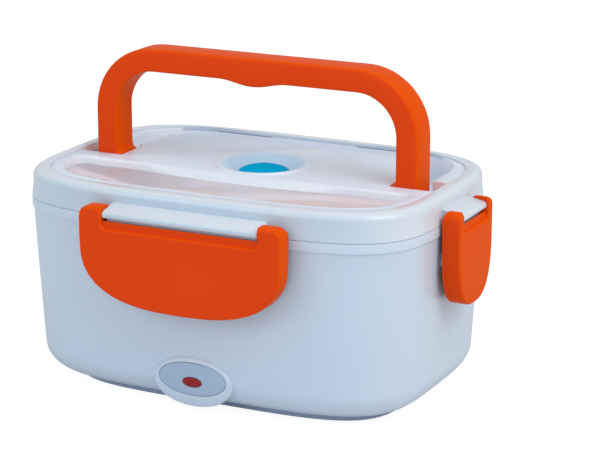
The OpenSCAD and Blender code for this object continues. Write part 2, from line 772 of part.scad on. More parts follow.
// White ring of the lid: skirt, rounded top edge, inner lip and the four hinge bars.
module lid_frame() {
    corner = [lid_edge_r, lid_top_z - lid_edge_r];
    color(white) difference() {
        union() {
            loft(concat(
                [[-band_d, lid_z], [0, lid_z + skirt_lean]],
                arc(corner, lid_edge_r, 180, 90, 4),
                [[ring_w, lid_top_z], [ring_w, lip_z]],
                arc(corner, lid_edge_r - ring_t, 90, 180, 2),
                [[ring_t, lid_z + skirt_lean], [ring_t - band_d / 2, lid_z]]
            ), closed = true);
            for (turn = [0, 180]) rotate(turn)
                at_long_pin() hinge_bar(long_half_w - long_ear_w - bar_gap, long_pin_l);
            for (turn = [90, 270]) rotate(turn)
                at_short_pin() hinge_bar(short_half_w - short_ear_w - bar_gap, short_pin_l);
        }
        slab(lip_z - cut, lid_top_z + cut) trough_shape();
    }
}

// Edges of the handle in X and Z about its pivot, as pairs of an outer and an inner point that
// run from the right foot over the grip to the left foot.
function handle_right() =
    let (
        o = handle_half_l,
        i = o - handle_w,
        under = handle_top - handle_w,
        outer_c = [o - handle_outer_r, handle_top - handle_outer_r],
        inner_c = [i - handle_inner_r, under - handle_inner_r],
        steps = 8
    )
    concat(
        [[[o, 0], [foot_in, 0]], [[o, handle_low], [foot_in, handle_low]]],
        [[[o, handle_low + 1], [i - 0.7, handle_low + 1]], [[o, flare_top], [i, flare_top]]],
        [for (k = [0 : steps]) let (t = 90 * k / steps, d = [cos(t), sin(t)])
            [outer_c + handle_outer_r * d, inner_c + handle_inner_r * d]],
        [for (k = [6 : -1 : 1]) let (x = swell_half_l * k / 6)
            [[x, handle_top], [x, under - swell_d * (0.5 + 0.5 * cos(30 * k))]]]
    );
function handle_edges() =
    let (right = handle_right(), last = len(right) - 1)
    concat(
        right,
        [[[0, handle_top], [0, handle_top - handle_w - swell_d]]],
        [for (k = [last : -1 : 0]) [for (p = right[k]) [-p[0], p[1]]]]
    );

// Section of the handle between an outer and an inner point, with its edges bevelled.
function handle_ring(o, i) =
    let (h = handle_t / 2, e = handle_edge, a = i + e * unit(o - i), b = o - e * unit(o - i))
    [for (q = [[a, -h], [b, -h], [o, e - h], [o, h - e], [b, h], [a, h], [i, h - e], [i, e - h]])
        [q[0][0], q[1], q[0][1]]];

// Trough that takes the folded handle, with a pocket outside each leg for its pin.
module trough_shape() {
    edges = handle_edges();
    translate([0, handle_y]) offset(delta = trough_gap) polygon(concat(
        [[handle_half_l, -handle_t / 2]], [for (p = edges) p[0]],
        [[-handle_half_l, -handle_t / 2], [-foot_in, -handle_t / 2]],
        [for (k = [len(edges) - 1 : -1 : 0]) edges[k][1]], [[foot_in, -handle_t / 2]]
    ));
    pocket_l = pocket_x - foot_in + trough_gap;
    for (s = [-1, 1]) translate([s * (pocket_x - pocket_l / 2), handle_y])
        square([pocket_l, handle_t + 2 * trough_gap], center = true);
    swing = norm([handle_t / 2, flare_top]) + trough_gap;
    for (s = [-1, 1]) translate([s * (foot_in - trough_gap + foot_flare), handle_y + swing / 2])
        square([2 * foot_flare, swing], center = true);
}

// Front recess of the lid in plan, at the foot of the ridge, and the spoon tray inside it.
module recess_shape() {
    difference() {
        polygon(plan(recess_in));
        polygon(concat(ridge_line, [[body_l, body_w], [-body_l, body_w]]));
    }
}

module tray_shape() {
    offset(delta = -tray_seat) recess_shape();
}

// Block behind the ridge's leaning face, whose top edge is straight and whose foot is an arc.
module ridge_block() {
    over = 2 * cut;
    skin([for (p = ridge_line) let (lean = (-ridge_y - p[1]) * over / recess_d) [
        [p[0], p[1], cover_top_z], [p[0], handle_y, cover_top_z],
        [p[0], handle_y, deck_z + over], [p[0], lean - ridge_y, deck_z + over]
    ]]);
}

// Translucent top panel with its ridge, spoon recess, vent dish and handle trough.
module lid_top() {
    color(panel_white) difference() {
        union() {
            slab(deck_z - deck_t, deck_z) polygon(plan(ring_w + close_fit));
            slab(lip_z - deck_t, lip_z) difference() {
                polygon(plan(ring_t + 2.5));
                polygon(plan(ring_w + 4));
            }
            slab(trough_z - pan_t, lip_z) offset(delta = pan_t) trough_shape();
            slab(tray_z - pan_t, lip_z) offset(delta = pan_t) tray_shape();
            slab(cover_seat_z - pan_t, lip_z) offset(delta = pan_t) recess_shape();
            translate([0, vent_y, 0]) rotate_extrude($fn = round_fn) polygon([
                [0, vent_floor_z - pan_t], [plug_r + 2.4, vent_floor_z - pan_t],
                [vent_r - 1, deck_z - deck_t], [vent_r, deck_z], [vent_r - 1, deck_z + vent_lip_h],
                [0, deck_z + vent_lip_h]
            ]);
        }
        slab(trough_z, deck_z + cut) trough_shape();
        slab(tray_z, deck_z + cut) tray_shape();
        difference() {
            slab(cover_seat_z, deck_z + cut) difference() {
                polygon(plan(recess_in));
                translate([0, body_w - ridge_y]) square(2 * [body_l, body_w], center = true);
            }
            slab(cover_seat_z - cut, cover_top_z) difference() {
                square(2 * [body_l, body_w], center = true);
                recess_shape();
            }
            ridge_block();
        }
        translate([0, vent_y, 0]) rotate_extrude($fn = round_fn) polygon([
            [0, vent_floor_z], [plug_r + 0.8, vent_floor_z],
            [vent_r - vent_lip_w, deck_z + 0.1], [vent_r - vent_crest, deck_z + vent_lip_h],
            [vent_r - vent_crest, deck_z + vent_lip_h + cut],
            [0, deck_z + vent_lip_h + cut]
        ]);
        translate([0, vent_y, 0]) slab(vent_floor_z - pan_t - cut, vent_floor_z + cut)
            circle(stem_r + 0.3, $fn = round_fn);
        for (s = [-1, 1]) translate([s * (pocket_x + pan_t / 2), handle_y, handle_pin_z])
            crosswise(-pan_t, pan_t) circle(handle_pin_r + pin_fit, $fn = round_fn);
    }
}

// Glossy cover over the spoon tray, with a half-moon thumb tab at its front edge.
module spoon_cover() {
    color([0.78, 0.75, 0.79]) {
        slab(cover_seat_z + 0.1, cover_top_z) offset(delta = -close_fit) recess_shape();
        slab(cover_seat_z + 0.1, deck_z - 0.3) intersection() {
            offset(delta = -close_fit) recess_shape();
            translate([tab_x, -body_w / 2 + recess_in + close_fit])
                scale([tab_half_l / tab_w, 1]) circle(tab_w, $fn = 48);
        }
    }
}

// Inner lid: a shallow pan under the top panel, with the seal's groove in its underside.
module lid_liner() {
    color(white) difference() {
        slab(liner_z, liner_z + liner_h) polygon(plan(liner_in));
        slab(liner_top_z, liner_z + liner_h + cut) polygon(plan(liner_in + liner_t));
        slab(liner_z - cut, liner_z + seal_groove) difference() {
            polygon(plan(seal_in));
            polygon(plan(seal_in + seal_w));
        }
        translate([0, vent_y, 0]) slab(liner_z - cut, liner_top_z + cut)
            circle(liner_hole_r, $fn = round_fn);
    }
}

module seal_ring() {
    color(silicone) slab(seal_z, liner_z + seal_groove) difference() {
        polygon(plan(seal_in + 0.05));
        polygon(plan(seal_in + seal_w - 0.05));
    }
}

// Silicone plug in the vent dish, with a domed crown and a stem through the top panel.
module vent_plug() {
    low = vent_floor_z + 0.1;
    brim = 0.7;
    color(plug_blue) translate([0, vent_y, 0]) rotate_extrude($fn = round_fn) polygon(concat(
        [[0, low - stem_l], [stem_r - 0.6, low - stem_l], [stem_r, low - stem_l + 0.6], [stem_r, low]],
        [[plug_r - 0.4, low]],
        [for (t = [0 : 12 : 84]) [plug_r * cos(t), low + brim + (plug_h - brim) * sin(t)]],
        [[0, low + plug_h]]
    ));
}

// Carry handle with rounded feet about its two pivot pins.
module handle() {
    color(orange) translate([0, handle_y, handle_pin_z]) {
        skin([for (p = handle_edges()) handle_ring(p[0], p[1])]);
        for (s = [-1, 1]) mirror([s < 0 ? 1 : 0, 0, 0]) {
            crosswise(foot_in, handle_half_l) polygon(concat(
                arc([0, 0], handle_t / 2, 180, 360, 12),
                [[handle_t / 2 - 2 * handle_edge, 2.5], [2 * handle_edge - handle_t / 2, 2.5]]
            ));
            crosswise(handle_half_l - 4, handle_half_l + handle_pin_l)
                circle(handle_pin_r, $fn = round_fn);
        }
    }
}

// Outline of a latch about its pin axis: two ears, the notch between them and a rounded lower edge.
function latch_outline(half_w, ear_w) =
    let (
        mid = latch_round - latch_l,
        in = half_w - ear_w,
        r = min(ear_r, ear_w - 1)
    )
    concat(
        [for (i = [0 : 20]) let (t = 180 + 9 * i)
            [half_w * signed_pow(cos(t), 2 / latch_n), mid + latch_round * signed_pow(sin(t), 2 / latch_n)]],
        arc([half_w - r, ear_h - r], r, 0, 90, 4),
        [[in, ear_h]],
        arc([in - notch_r, notch_r - notch_h], notch_r, 0, -90, 4),
        arc([notch_r - in, notch_r - notch_h], notch_r, -90, -180, 4),
        [[-in, ear_h]],
        arc([r - half_w, ear_h - r], r, 90, 180, 4)
    );

// Snap latch about its pin axis, with its face at -Y, and its hook and ribs on the inside.
module latch(half_w, ear_w, catch_half_w, pin_l, reach) {
    back = latch_d - latch_face;
    inside = latch_t - latch_face;
    hook_half = catch_half_w - 2.4;
    hook_z = -catch_drop - 0.4;
    inner_w = half_w - ear_w;
    difference() {
        intersection() {
            union() {
                upright(-latch_face, inside) polygon(latch_outline(half_w, ear_w));
                difference() {
                    upright(-latch_face, back) polygon(latch_outline(half_w, ear_w));
                    upright(inside, back + cut) difference() {
                        offset(delta = -latch_t) polygon(latch_outline(half_w, ear_w));
                        for (s = [-1, 1]) translate([s * half_w, 0])
                            square([2 * ear_w, 2 * notch_h - 2], center = true);
                    }
                    translate([0, (inside + back + cut) / 2, -notch_h])
                        cube([2 * inner_w - 2 * latch_t, back + cut - inside, 3 * latch_t], center = true);
                }
                upright(inside - 0.5, reach) translate([-hook_half, hook_z - 3]) square([2 * hook_half, 3]);
                upright(-web_face, web_t - web_face) translate([-inner_w - 1, -notch_h - 2])
                    square([2 * inner_w + 2, notch_h + 2 - web_drop]);
                for (x = [-hook_half + 0.8 : (2 * hook_half - 1.6) / 4 : hook_half])
                    crosswise(x - 0.8, x + 0.8) polygon([
                        [inside - 0.5, hook_z - 1], [reach - 1.5, hook_z - 2], [inside, hook_z - 14],
                        [inside - 0.5, hook_z - 14]
                    ]);
            }
            crosswise(-half_w - cut, half_w + cut) polygon(concat(
                [[reach + cut, -latch_l - cut], [reach + cut, -notch_h - 4], [back, -notch_h - 4]],
                arc([back - ear_edge, ear_h - ear_edge], ear_edge, 0, 90, 4),
                arc([ear_edge - latch_face, ear_h - ear_edge], ear_edge, 90, 180, 4),
                [[-latch_face, -latch_l - cut]]
            ));
        }
        for (s = [-1, 1]) mirror([s < 0 ? 1 : 0, 0, 0])
            crosswise(inner_w - cut, inner_w + pin_l + 0.2) circle(pin_r + pin_fit, $fn = round_fn);
    }
}

// How far a hook reaches in from its pin, to end just short of its catch.
hook_reach = pin_out + shell_inset(catch_z) - catch_d - hook_gap;

module long_latch() {
    at_long_pin() latch(long_half_w, long_ear_w, long_half_w - catch_end, long_pin_l, hook_reach);
}

module short_latch() {
    at_short_pin() latch(short_half_w, short_ear_w, short_half_w - short_catch_end, short_pin_l, hook_reach);
}

module latch_front() { color(orange) long_latch(); }
module latch_back() { color(orange) rotate(180) long_latch(); }
module latch_left() { color(orange) rotate(270) short_latch(); }
module latch_right() { color(orange) rotate(90) short_latch(); }

outer_shell();
inner_well();
heating_plate();
plate_gasket();
ptc_heater();
heater_clamp();
clamp_nuts();
thermal_fuse();
power_inlet();
inlet_pins();
inner_wiring();
indicator_board();
indicator_lens();
indicator_panel();
base_cover();
rubber_feet();
base_screws();
food_container();
side_dish_box();
lid_frame();
lid_top();
spoon_cover();
lid_liner();
seal_ring();
vent_plug();
handle();
latch_front();
latch_back();
latch_left();
latch_right();
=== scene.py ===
"""Looks of an electric lunch box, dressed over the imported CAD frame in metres."""

import logging
import math
from dataclasses import dataclass
from enum import Enum
from typing import Any, Callable, Iterable, Mapping, Sequence

import bpy
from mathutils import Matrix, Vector
from mathutils.kdtree import KDTree


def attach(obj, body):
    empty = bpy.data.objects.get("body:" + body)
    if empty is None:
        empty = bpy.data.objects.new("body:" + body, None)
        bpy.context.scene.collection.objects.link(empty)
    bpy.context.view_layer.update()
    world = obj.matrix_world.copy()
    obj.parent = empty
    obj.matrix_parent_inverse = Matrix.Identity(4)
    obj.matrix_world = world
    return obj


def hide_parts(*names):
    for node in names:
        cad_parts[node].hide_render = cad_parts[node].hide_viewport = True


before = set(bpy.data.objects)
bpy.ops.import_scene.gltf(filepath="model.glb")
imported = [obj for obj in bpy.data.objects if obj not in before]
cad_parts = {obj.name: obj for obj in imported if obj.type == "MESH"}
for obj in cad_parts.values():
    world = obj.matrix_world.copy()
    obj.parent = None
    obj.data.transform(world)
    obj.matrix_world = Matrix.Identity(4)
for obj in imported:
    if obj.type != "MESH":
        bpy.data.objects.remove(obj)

LOG = logging.getLogger("lunch_box")
MM = 0.001
MERGE = 2e-6
SHARP = 34.0
VENT_Y = 6.6
QUARTER_TURN = math.pi / 2
Colour = tuple[float, float, float]
Point = tuple[float, float]
Place = tuple[float, float, float]


class Axis(Enum):
    """Direction along which a section is drawn out."""

    ALONG = "x"
    ACROSS = "y"
    UP = "z"


class Grain(Enum):
    """What the surface of a finish looks like close up."""

    MOULDED = "moulded"
    BRUSHED = "brushed"
    CAST = "cast"
    RUBBERY = "rubbery"


# Shader sockets and node making


class Signal:
    """A shader socket that takes part in Python arithmetic."""

    def __init__(self, bench: "Bench", socket: bpy.types.NodeSocket) -> None:
        """Keeps the bench that makes the Math nodes and the socket that carries the value."""
        self.bench = bench
        self.socket = socket

    def _join(self, operation: str, first: Any, second: Any, clamp: bool = False) -> "Signal":
        """Adds one Math node.

        Args:
            operation: Name of the Math node's operation.
            first: Signal or number of the first input.
            second: Signal or number of the second input.
            clamp: Whether the result is held between 0 and 1.

        Returns:
            The node's result.
        """
        node = self.bench.node(
            "ShaderNodeMath", {"operation": operation, "use_clamp": clamp}, {0: first, 1: second}
        )
        return Signal(self.bench, node.outputs[0])

    def __add__(self, other: Any) -> "Signal":
        """Sum with a signal or number."""
        return self._join("ADD", self, other)

    __radd__ = __add__

    def __sub__(self, other: Any) -> "Signal":
        """Difference from a signal or number."""
        return self._join("SUBTRACT", self, other)

    def __rsub__(self, other: Any) -> "Signal":
        """Number less this signal."""
        return self._join("SUBTRACT", other, self)

    def __mul__(self, other: Any) -> "Signal":
        """Product with a signal or number."""
        return self._join("MULTIPLY", self, other)

    __rmul__ = __mul__

    def __pow__(self, other: Any) -> "Signal":
        """Power of this signal."""
        return self._join("POWER", self, other)

    def __abs__(self) -> "Signal":
        """Size without the sign."""
        return self._join("ABSOLUTE", self, 0.0)

    def or_more(self, other: Any) -> "Signal":
        """The larger of this signal and another."""
        return self._join("MAXIMUM", self, other)

    def held(self) -> "Signal":
        """The same value held between 0 and 1."""
        return self._join("ADD", self, 0.0, clamp=True)


class Bench:
    """Node tree of a material or of the world, with the one method that makes its nodes."""

    def __init__(self, owner: bpy.types.Material | bpy.types.World) -> None:
        """Takes over the owner's node tree and empties it."""
        owner.use_nodes = True
        self.tree = owner.node_tree
        self.tree.nodes.clear()

    def node(
        self,
        kind: str,
        settings: Mapping[str, Any] | None = None,
        inputs: Mapping[Any, Any] | None = None,
    ) -> bpy.types.Node:
        """Makes a node, sets it up and feeds its sockets.

        Args:
            kind: Blender's type name of the node.
            settings: Properties set first. "stops" holds a ramp's (place, colour) pairs.
            inputs: Value, socket or Signal for each input, by name or number.

        Returns:
            The new node.
        """
        made = self.tree.nodes.new(kind)
        for key, value in (settings or {}).items():
            if key == "stops":
                ramp = made.color_ramp
                while len(ramp.elements) < len(value):
                    ramp.elements.new(0.5)
                for element, (place, colour) in zip(ramp.elements, value):
                    element.position = place
                    element.color = (*colour, 1.0)
            else:
                setattr(made, key, value)
        for key, value in (inputs or {}).items():
            if isinstance(value, Signal):
                self.tree.links.new(value.socket, made.inputs[key])
            elif isinstance(value, bpy.types.NodeSocket):
                self.tree.links.new(value, made.inputs[key])
            else:
                made.inputs[key].default_value = value
        return made

    def blend(self, share: Any, first: Any, second: Any) -> bpy.types.NodeSocket:
        """Mixes two colours.

        Args:
            share: How much of the second colour shows, from 0 to 1.
            first: Colour or socket that shows at 0.
            second: Colour or socket that shows at 1.

        Returns:
            The mixed colour's socket.
        """
        made = self.node(
            "ShaderNodeMix", {"data_type": "RGBA", "clamp_factor": True},
            {0: share, 6: _rgba(first), 7: _rgba(second)},
        )
        return made.outputs[2]

    def noise(self, place: Any, scale: float, detail: float = 2.0) -> Signal:
        """Smooth noise over an object's own coordinates, from 0 to 1."""
        made = self.node(
            "ShaderNodeTexNoise", {}, {"Vector": place, "Scale": scale, "Detail": detail}
        )
        return Signal(self, made.outputs[0])


def _rgba(colour: Any) -> Any:
    """Adds the fourth number to a plain colour and leaves a socket as it is."""
    return (*colour, 1.0) if isinstance(colour, tuple) else colour


# Finishes


@dataclass(frozen=True)
class PaintedSpot:
    """Round spot of painted light on a surface, in metres from the model's origin: painted shade
    in the vent dish, a painted reflection on the tray cover.
    """

    centre: Point
    radius: float
    soft: float
    tone: Colour


@dataclass(frozen=True)
class Finish:
    """A surface finish, with colours in linear light. Its side colour and its round spot paint
    light and shade into the colour.
    """

    name: str
    colour: Colour
    tone: Colour
    roughness: float
    grain: Grain = Grain.MOULDED
    metallic: float = 0.0
    coat: float = 0.0
    subsurface: float = 0.0
    specular: float = 0.5
    # Painted light: the lighter colour of faces that turn away from face_axis.
    painted_side_light: Colour | None = None
    face_axis: int = 1
    # Painted light: a round spot whose tone stands in for shade or a reflection.
    painted_spot: PaintedSpot | None = None
    relief: float = 0.02
    cloud_scale: float = 22.0
    pore_scale: float = 900.0
    bump_depth: float = 0.0004

    def material(self) -> bpy.types.Material:
        """Builds the node material.

        Returns:
            The material, whose colour, roughness and relief vary over the surface.
        """
        made = bpy.data.materials.new(self.name)
        bench = Bench(made)
        coords = bench.node("ShaderNodeTexCoord")
        place = coords.outputs["Object"]
        cloud = bench.noise(place, self.cloud_scale)
        pores = self.pores(bench, place)
        colour = bench.blend((cloud * 1.6 - 0.3).held(), self.colour, self.tone)
        # Painted light: faces turned away from face_axis take the lighter side colour, as if more
        # light fell on them.
        if self.painted_side_light is not None:
            normal = bench.node("ShaderNodeSeparateXYZ", {}, {0: coords.outputs["Normal"]})
            front = abs(Signal(bench, normal.outputs[self.face_axis])) ** 3.0
            colour = bench.blend(front.held(), self.painted_side_light, colour)
        # Painted light: the spot's tone is painted over the colour.
        if self.painted_spot is not None:
            colour = bench.blend(self.in_painted_spot(bench, place, self.painted_spot), colour, self.painted_spot.tone)
        swing = 0.22 if self.grain is Grain.BRUSHED else 0.08
        rough = (pores * swing + (cloud - 0.5) * 0.05 + (self.roughness - swing / 2)).held()
        bump = bench.node(
            "ShaderNodeBump", {},
            {"Strength": self.relief, "Distance": self.bump_depth, "Height": pores},
        )
        shader = bench.node(
            "ShaderNodeBsdfPrincipled", {},
            {
                "Base Color": colour, "Roughness": rough, "Metallic": self.metallic,
                "Coat Weight": self.coat, "Coat Roughness": 0.12, "Normal": bump.outputs[0],
                "Subsurface Weight": self.subsurface, "Subsurface Scale": 0.003,
                "Subsurface Radius": (0.7, 0.7, 0.7), "Specular IOR Level": self.specular,
            },
        )
        bench.node("ShaderNodeOutputMaterial", {}, {"Surface": shader.outputs[0]})
        return made

    def pores(self, bench: Bench, place: bpy.types.NodeSocket) -> Signal:
        """The fine grain of the surface, from 0 to 1."""
        if self.grain is Grain.BRUSHED:
            stretched = bench.node(
                "ShaderNodeMapping", {"vector_type": "POINT"},
                {"Vector": place, "Scale": (1.0, 34.0, 34.0)},
            )
            return bench.noise(stretched.outputs[0], 60.0, 4.0)
        if self.grain is Grain.CAST:
            return bench.noise(place, self.pore_scale * 0.6, 6.0)
        return bench.noise(place, self.pore_scale, 3.0)

    @staticmethod
    def in_painted_spot(bench: Bench, place: bpy.types.NodeSocket, painted_spot: PaintedSpot) -> Signal:
        """How far inside a spot a point lies, from 0 at its rim to 1 past its soft edge."""
        point = bench.node("ShaderNodeSeparateXYZ", {}, {0: place})
        across = Signal(bench, point.outputs[0]) - painted_spot.centre[0]
        along = Signal(bench, point.outputs[1]) - painted_spot.centre[1]
        reach = (across * across + along * along) ** 0.5
        return ((painted_spot.radius - reach) * (1.0 / painted_spot.soft)).held()


class Palette:
    """The finishes of the lunch box, each made into a material once."""

    FINISHES = {
        # Painted light: the shell's sides, top and rounded bottom are lighter than its front and
        # back.
        "white_shell": Finish("white_shell", (0.55, 0.69, 0.83), (0.58, 0.71, 0.845), 0.30,
                              coat=0.2, subsurface=0.05, painted_side_light=(0.62, 0.73, 0.85)),
        # Painted light: the top and sides of the lid's ring are lighter than its front and back.
        "lid_white": Finish("lid_white", (0.52, 0.66, 0.79), (0.55, 0.68, 0.805), 0.32,
                            coat=0.2, subsurface=0.06, painted_side_light=(0.70, 0.77, 0.85)),
        # Painted light: walls of the deck's hollows are lighter than its flat top, standing in for
        # light through the plastic. Painted shade: a darker bluish spot over the vent dish.
        "lid_panel": Finish("lid_panel", (0.71, 0.84, 1.0), (0.74, 0.86, 1.0), 0.3,
                            coat=0.1, painted_side_light=(0.83, 0.91, 1.0), face_axis=2, relief=0.004,
                            painted_spot=PaintedSpot((0.0, VENT_Y * MM), 0.0222, 0.0014, (0.56, 0.81, 1.0))),
        # Painted reflection: a pink spot on the cover where the handle's orange left leg is
        # mirrored.
        "tray_cover": Finish("tray_cover", (0.72, 0.54, 0.56), (0.75, 0.57, 0.59), 0.09,
                             coat=1.0, subsurface=0.05, relief=0.004,
                             painted_spot=PaintedSpot((-0.0675, -0.0285), 0.0135, 0.008, (0.86, 0.36, 0.36))),
        "tray_white": Finish("tray_white", (0.74, 0.78, 0.82), (0.77, 0.80, 0.83), 0.36,
                             coat=0.1, subsurface=0.08),
        # Painted light: sides and tops of the orange parts are lighter and more yellow than their
        # front and back.
        "orange": Finish("orange", (0.79, 0.064, 0.008), (0.80, 0.070, 0.009), 0.34,
                         specular=0.02, painted_side_light=(0.83, 0.086, 0.0)),
        "plug_blue": Finish("plug_blue", (0.003, 0.42, 0.76), (0.003, 0.44, 0.78), 0.5,
                            Grain.RUBBERY, specular=0.0, relief=0.03),
        "seal": Finish("seal", (0.72, 0.71, 0.66), (0.75, 0.74, 0.70), 0.45, Grain.RUBBERY),
        "base_grey": Finish("base_grey", (0.36, 0.46, 0.64), (0.38, 0.48, 0.66), 0.42),
        "foot_rubber": Finish("foot_rubber", (0.035, 0.037, 0.04), (0.05, 0.052, 0.055), 0.7,
                              Grain.RUBBERY, relief=0.2),
        "panel_grey": Finish("panel_grey", (0.35, 0.49, 0.67), (0.38, 0.52, 0.70), 0.3, coat=0.2),
        "lens_red": Finish("lens_red", (0.27, 0.010, 0.012), (0.32, 0.014, 0.016), 0.2,
                           coat=0.15, specular=0.2),
        "inlet_black": Finish("inlet_black", (0.012, 0.012, 0.014), (0.02, 0.02, 0.022), 0.45,
                              relief=0.15),
        "steel": Finish("steel", (0.60, 0.61, 0.63), (0.66, 0.67, 0.68), 0.28, Grain.BRUSHED,
                        metallic=1.0, relief=0.04),
        "aluminium": Finish("aluminium", (0.70, 0.71, 0.72), (0.62, 0.63, 0.64), 0.45,
                            Grain.CAST, metallic=1.0, relief=0.3),
        "contact_brass": Finish("contact_brass", (0.72, 0.58, 0.28), (0.76, 0.63, 0.34), 0.22,
                                Grain.BRUSHED, metallic=1.0),
        "board_green": Finish("board_green", (0.02, 0.13, 0.06), (0.03, 0.16, 0.07), 0.5),
        "fuse_body": Finish("fuse_body", (0.66, 0.62, 0.48), (0.70, 0.66, 0.52), 0.5, Grain.CAST),
        "wire_red": Finish("wire_red", (0.42, 0.012, 0.01), (0.46, 0.02, 0.015), 0.4,
                           Grain.RUBBERY),
    }

    def __init__(self) -> None:
        """Starts with no material made."""
        self._made: dict[str, bpy.types.Material] = {}

    def get(self, name: str) -> bpy.types.Material:
        """The material of that finish, made at its first use."""
        if name not in self._made:
            self._made[name] = self.FINISHES[name].material()
        return self._made[name]


# Modelling moves shared by the sub-assemblies


@dataclass(frozen=True)
class Outline:
    """Unit outline that is scaled to each row of a loft. A power of 2 is an ellipse."""

    power: float = 4.2
    steps: int = 256

    def at(self, angle: float) -> Point:
        """Place on the unit outline at an angle in radians."""
        c, s = math.cos(angle), math.sin(angle)
        grow = 2.0 / self.power
        return (math.copysign(abs(c) ** grow, c), math.copysign(abs(s) ** grow, s))


BODY = Outline()
ROUND = Outline(power=2.0, steps=96)


def arc(centre: Point, radius: float, start: float, end: float, steps: int) -> list[Point]:
    """Points on an arc.

    Args:
        centre: The arc's centre.
        radius: Its radius.
        start: First angle in degrees.
        end: Last angle in degrees.
        steps: Number of chords.

    Returns:
        The points, first and last included.
    """
    turns = [math.radians(start + (end - start) * i / steps) for i in range(steps + 1)]
    return [(centre[0] + radius * math.cos(t), centre[1] + radius * math.sin(t)) for t in turns]


def outward(points: Sequence[Point]) -> list[Point]:
    """Direction in which each point of a counter-clockwise outline moves when it grows."""
    ways = []
    for k, (x, y) in enumerate(points):
        (ax, ay), (bx, by) = points[k - 1], points[(k + 1) % len(points)]
        first = Vector((y - ay, ax - x)).normalized()
        second = Vector((by - y, x - bx)).normalized()
        way = (first + second).normalized()
        way /= max(way.dot(first), 0.4)
        ways.append((way.x, way.y))
    return ways


def grown(points: Sequence[Point], by: float) -> list[Point]:
    """The outline's points moved outwards by a distance in millimetres."""
    return [(x + way[0] * by, y + way[1] * by) for (x, y), way in zip(points, outward(points))]


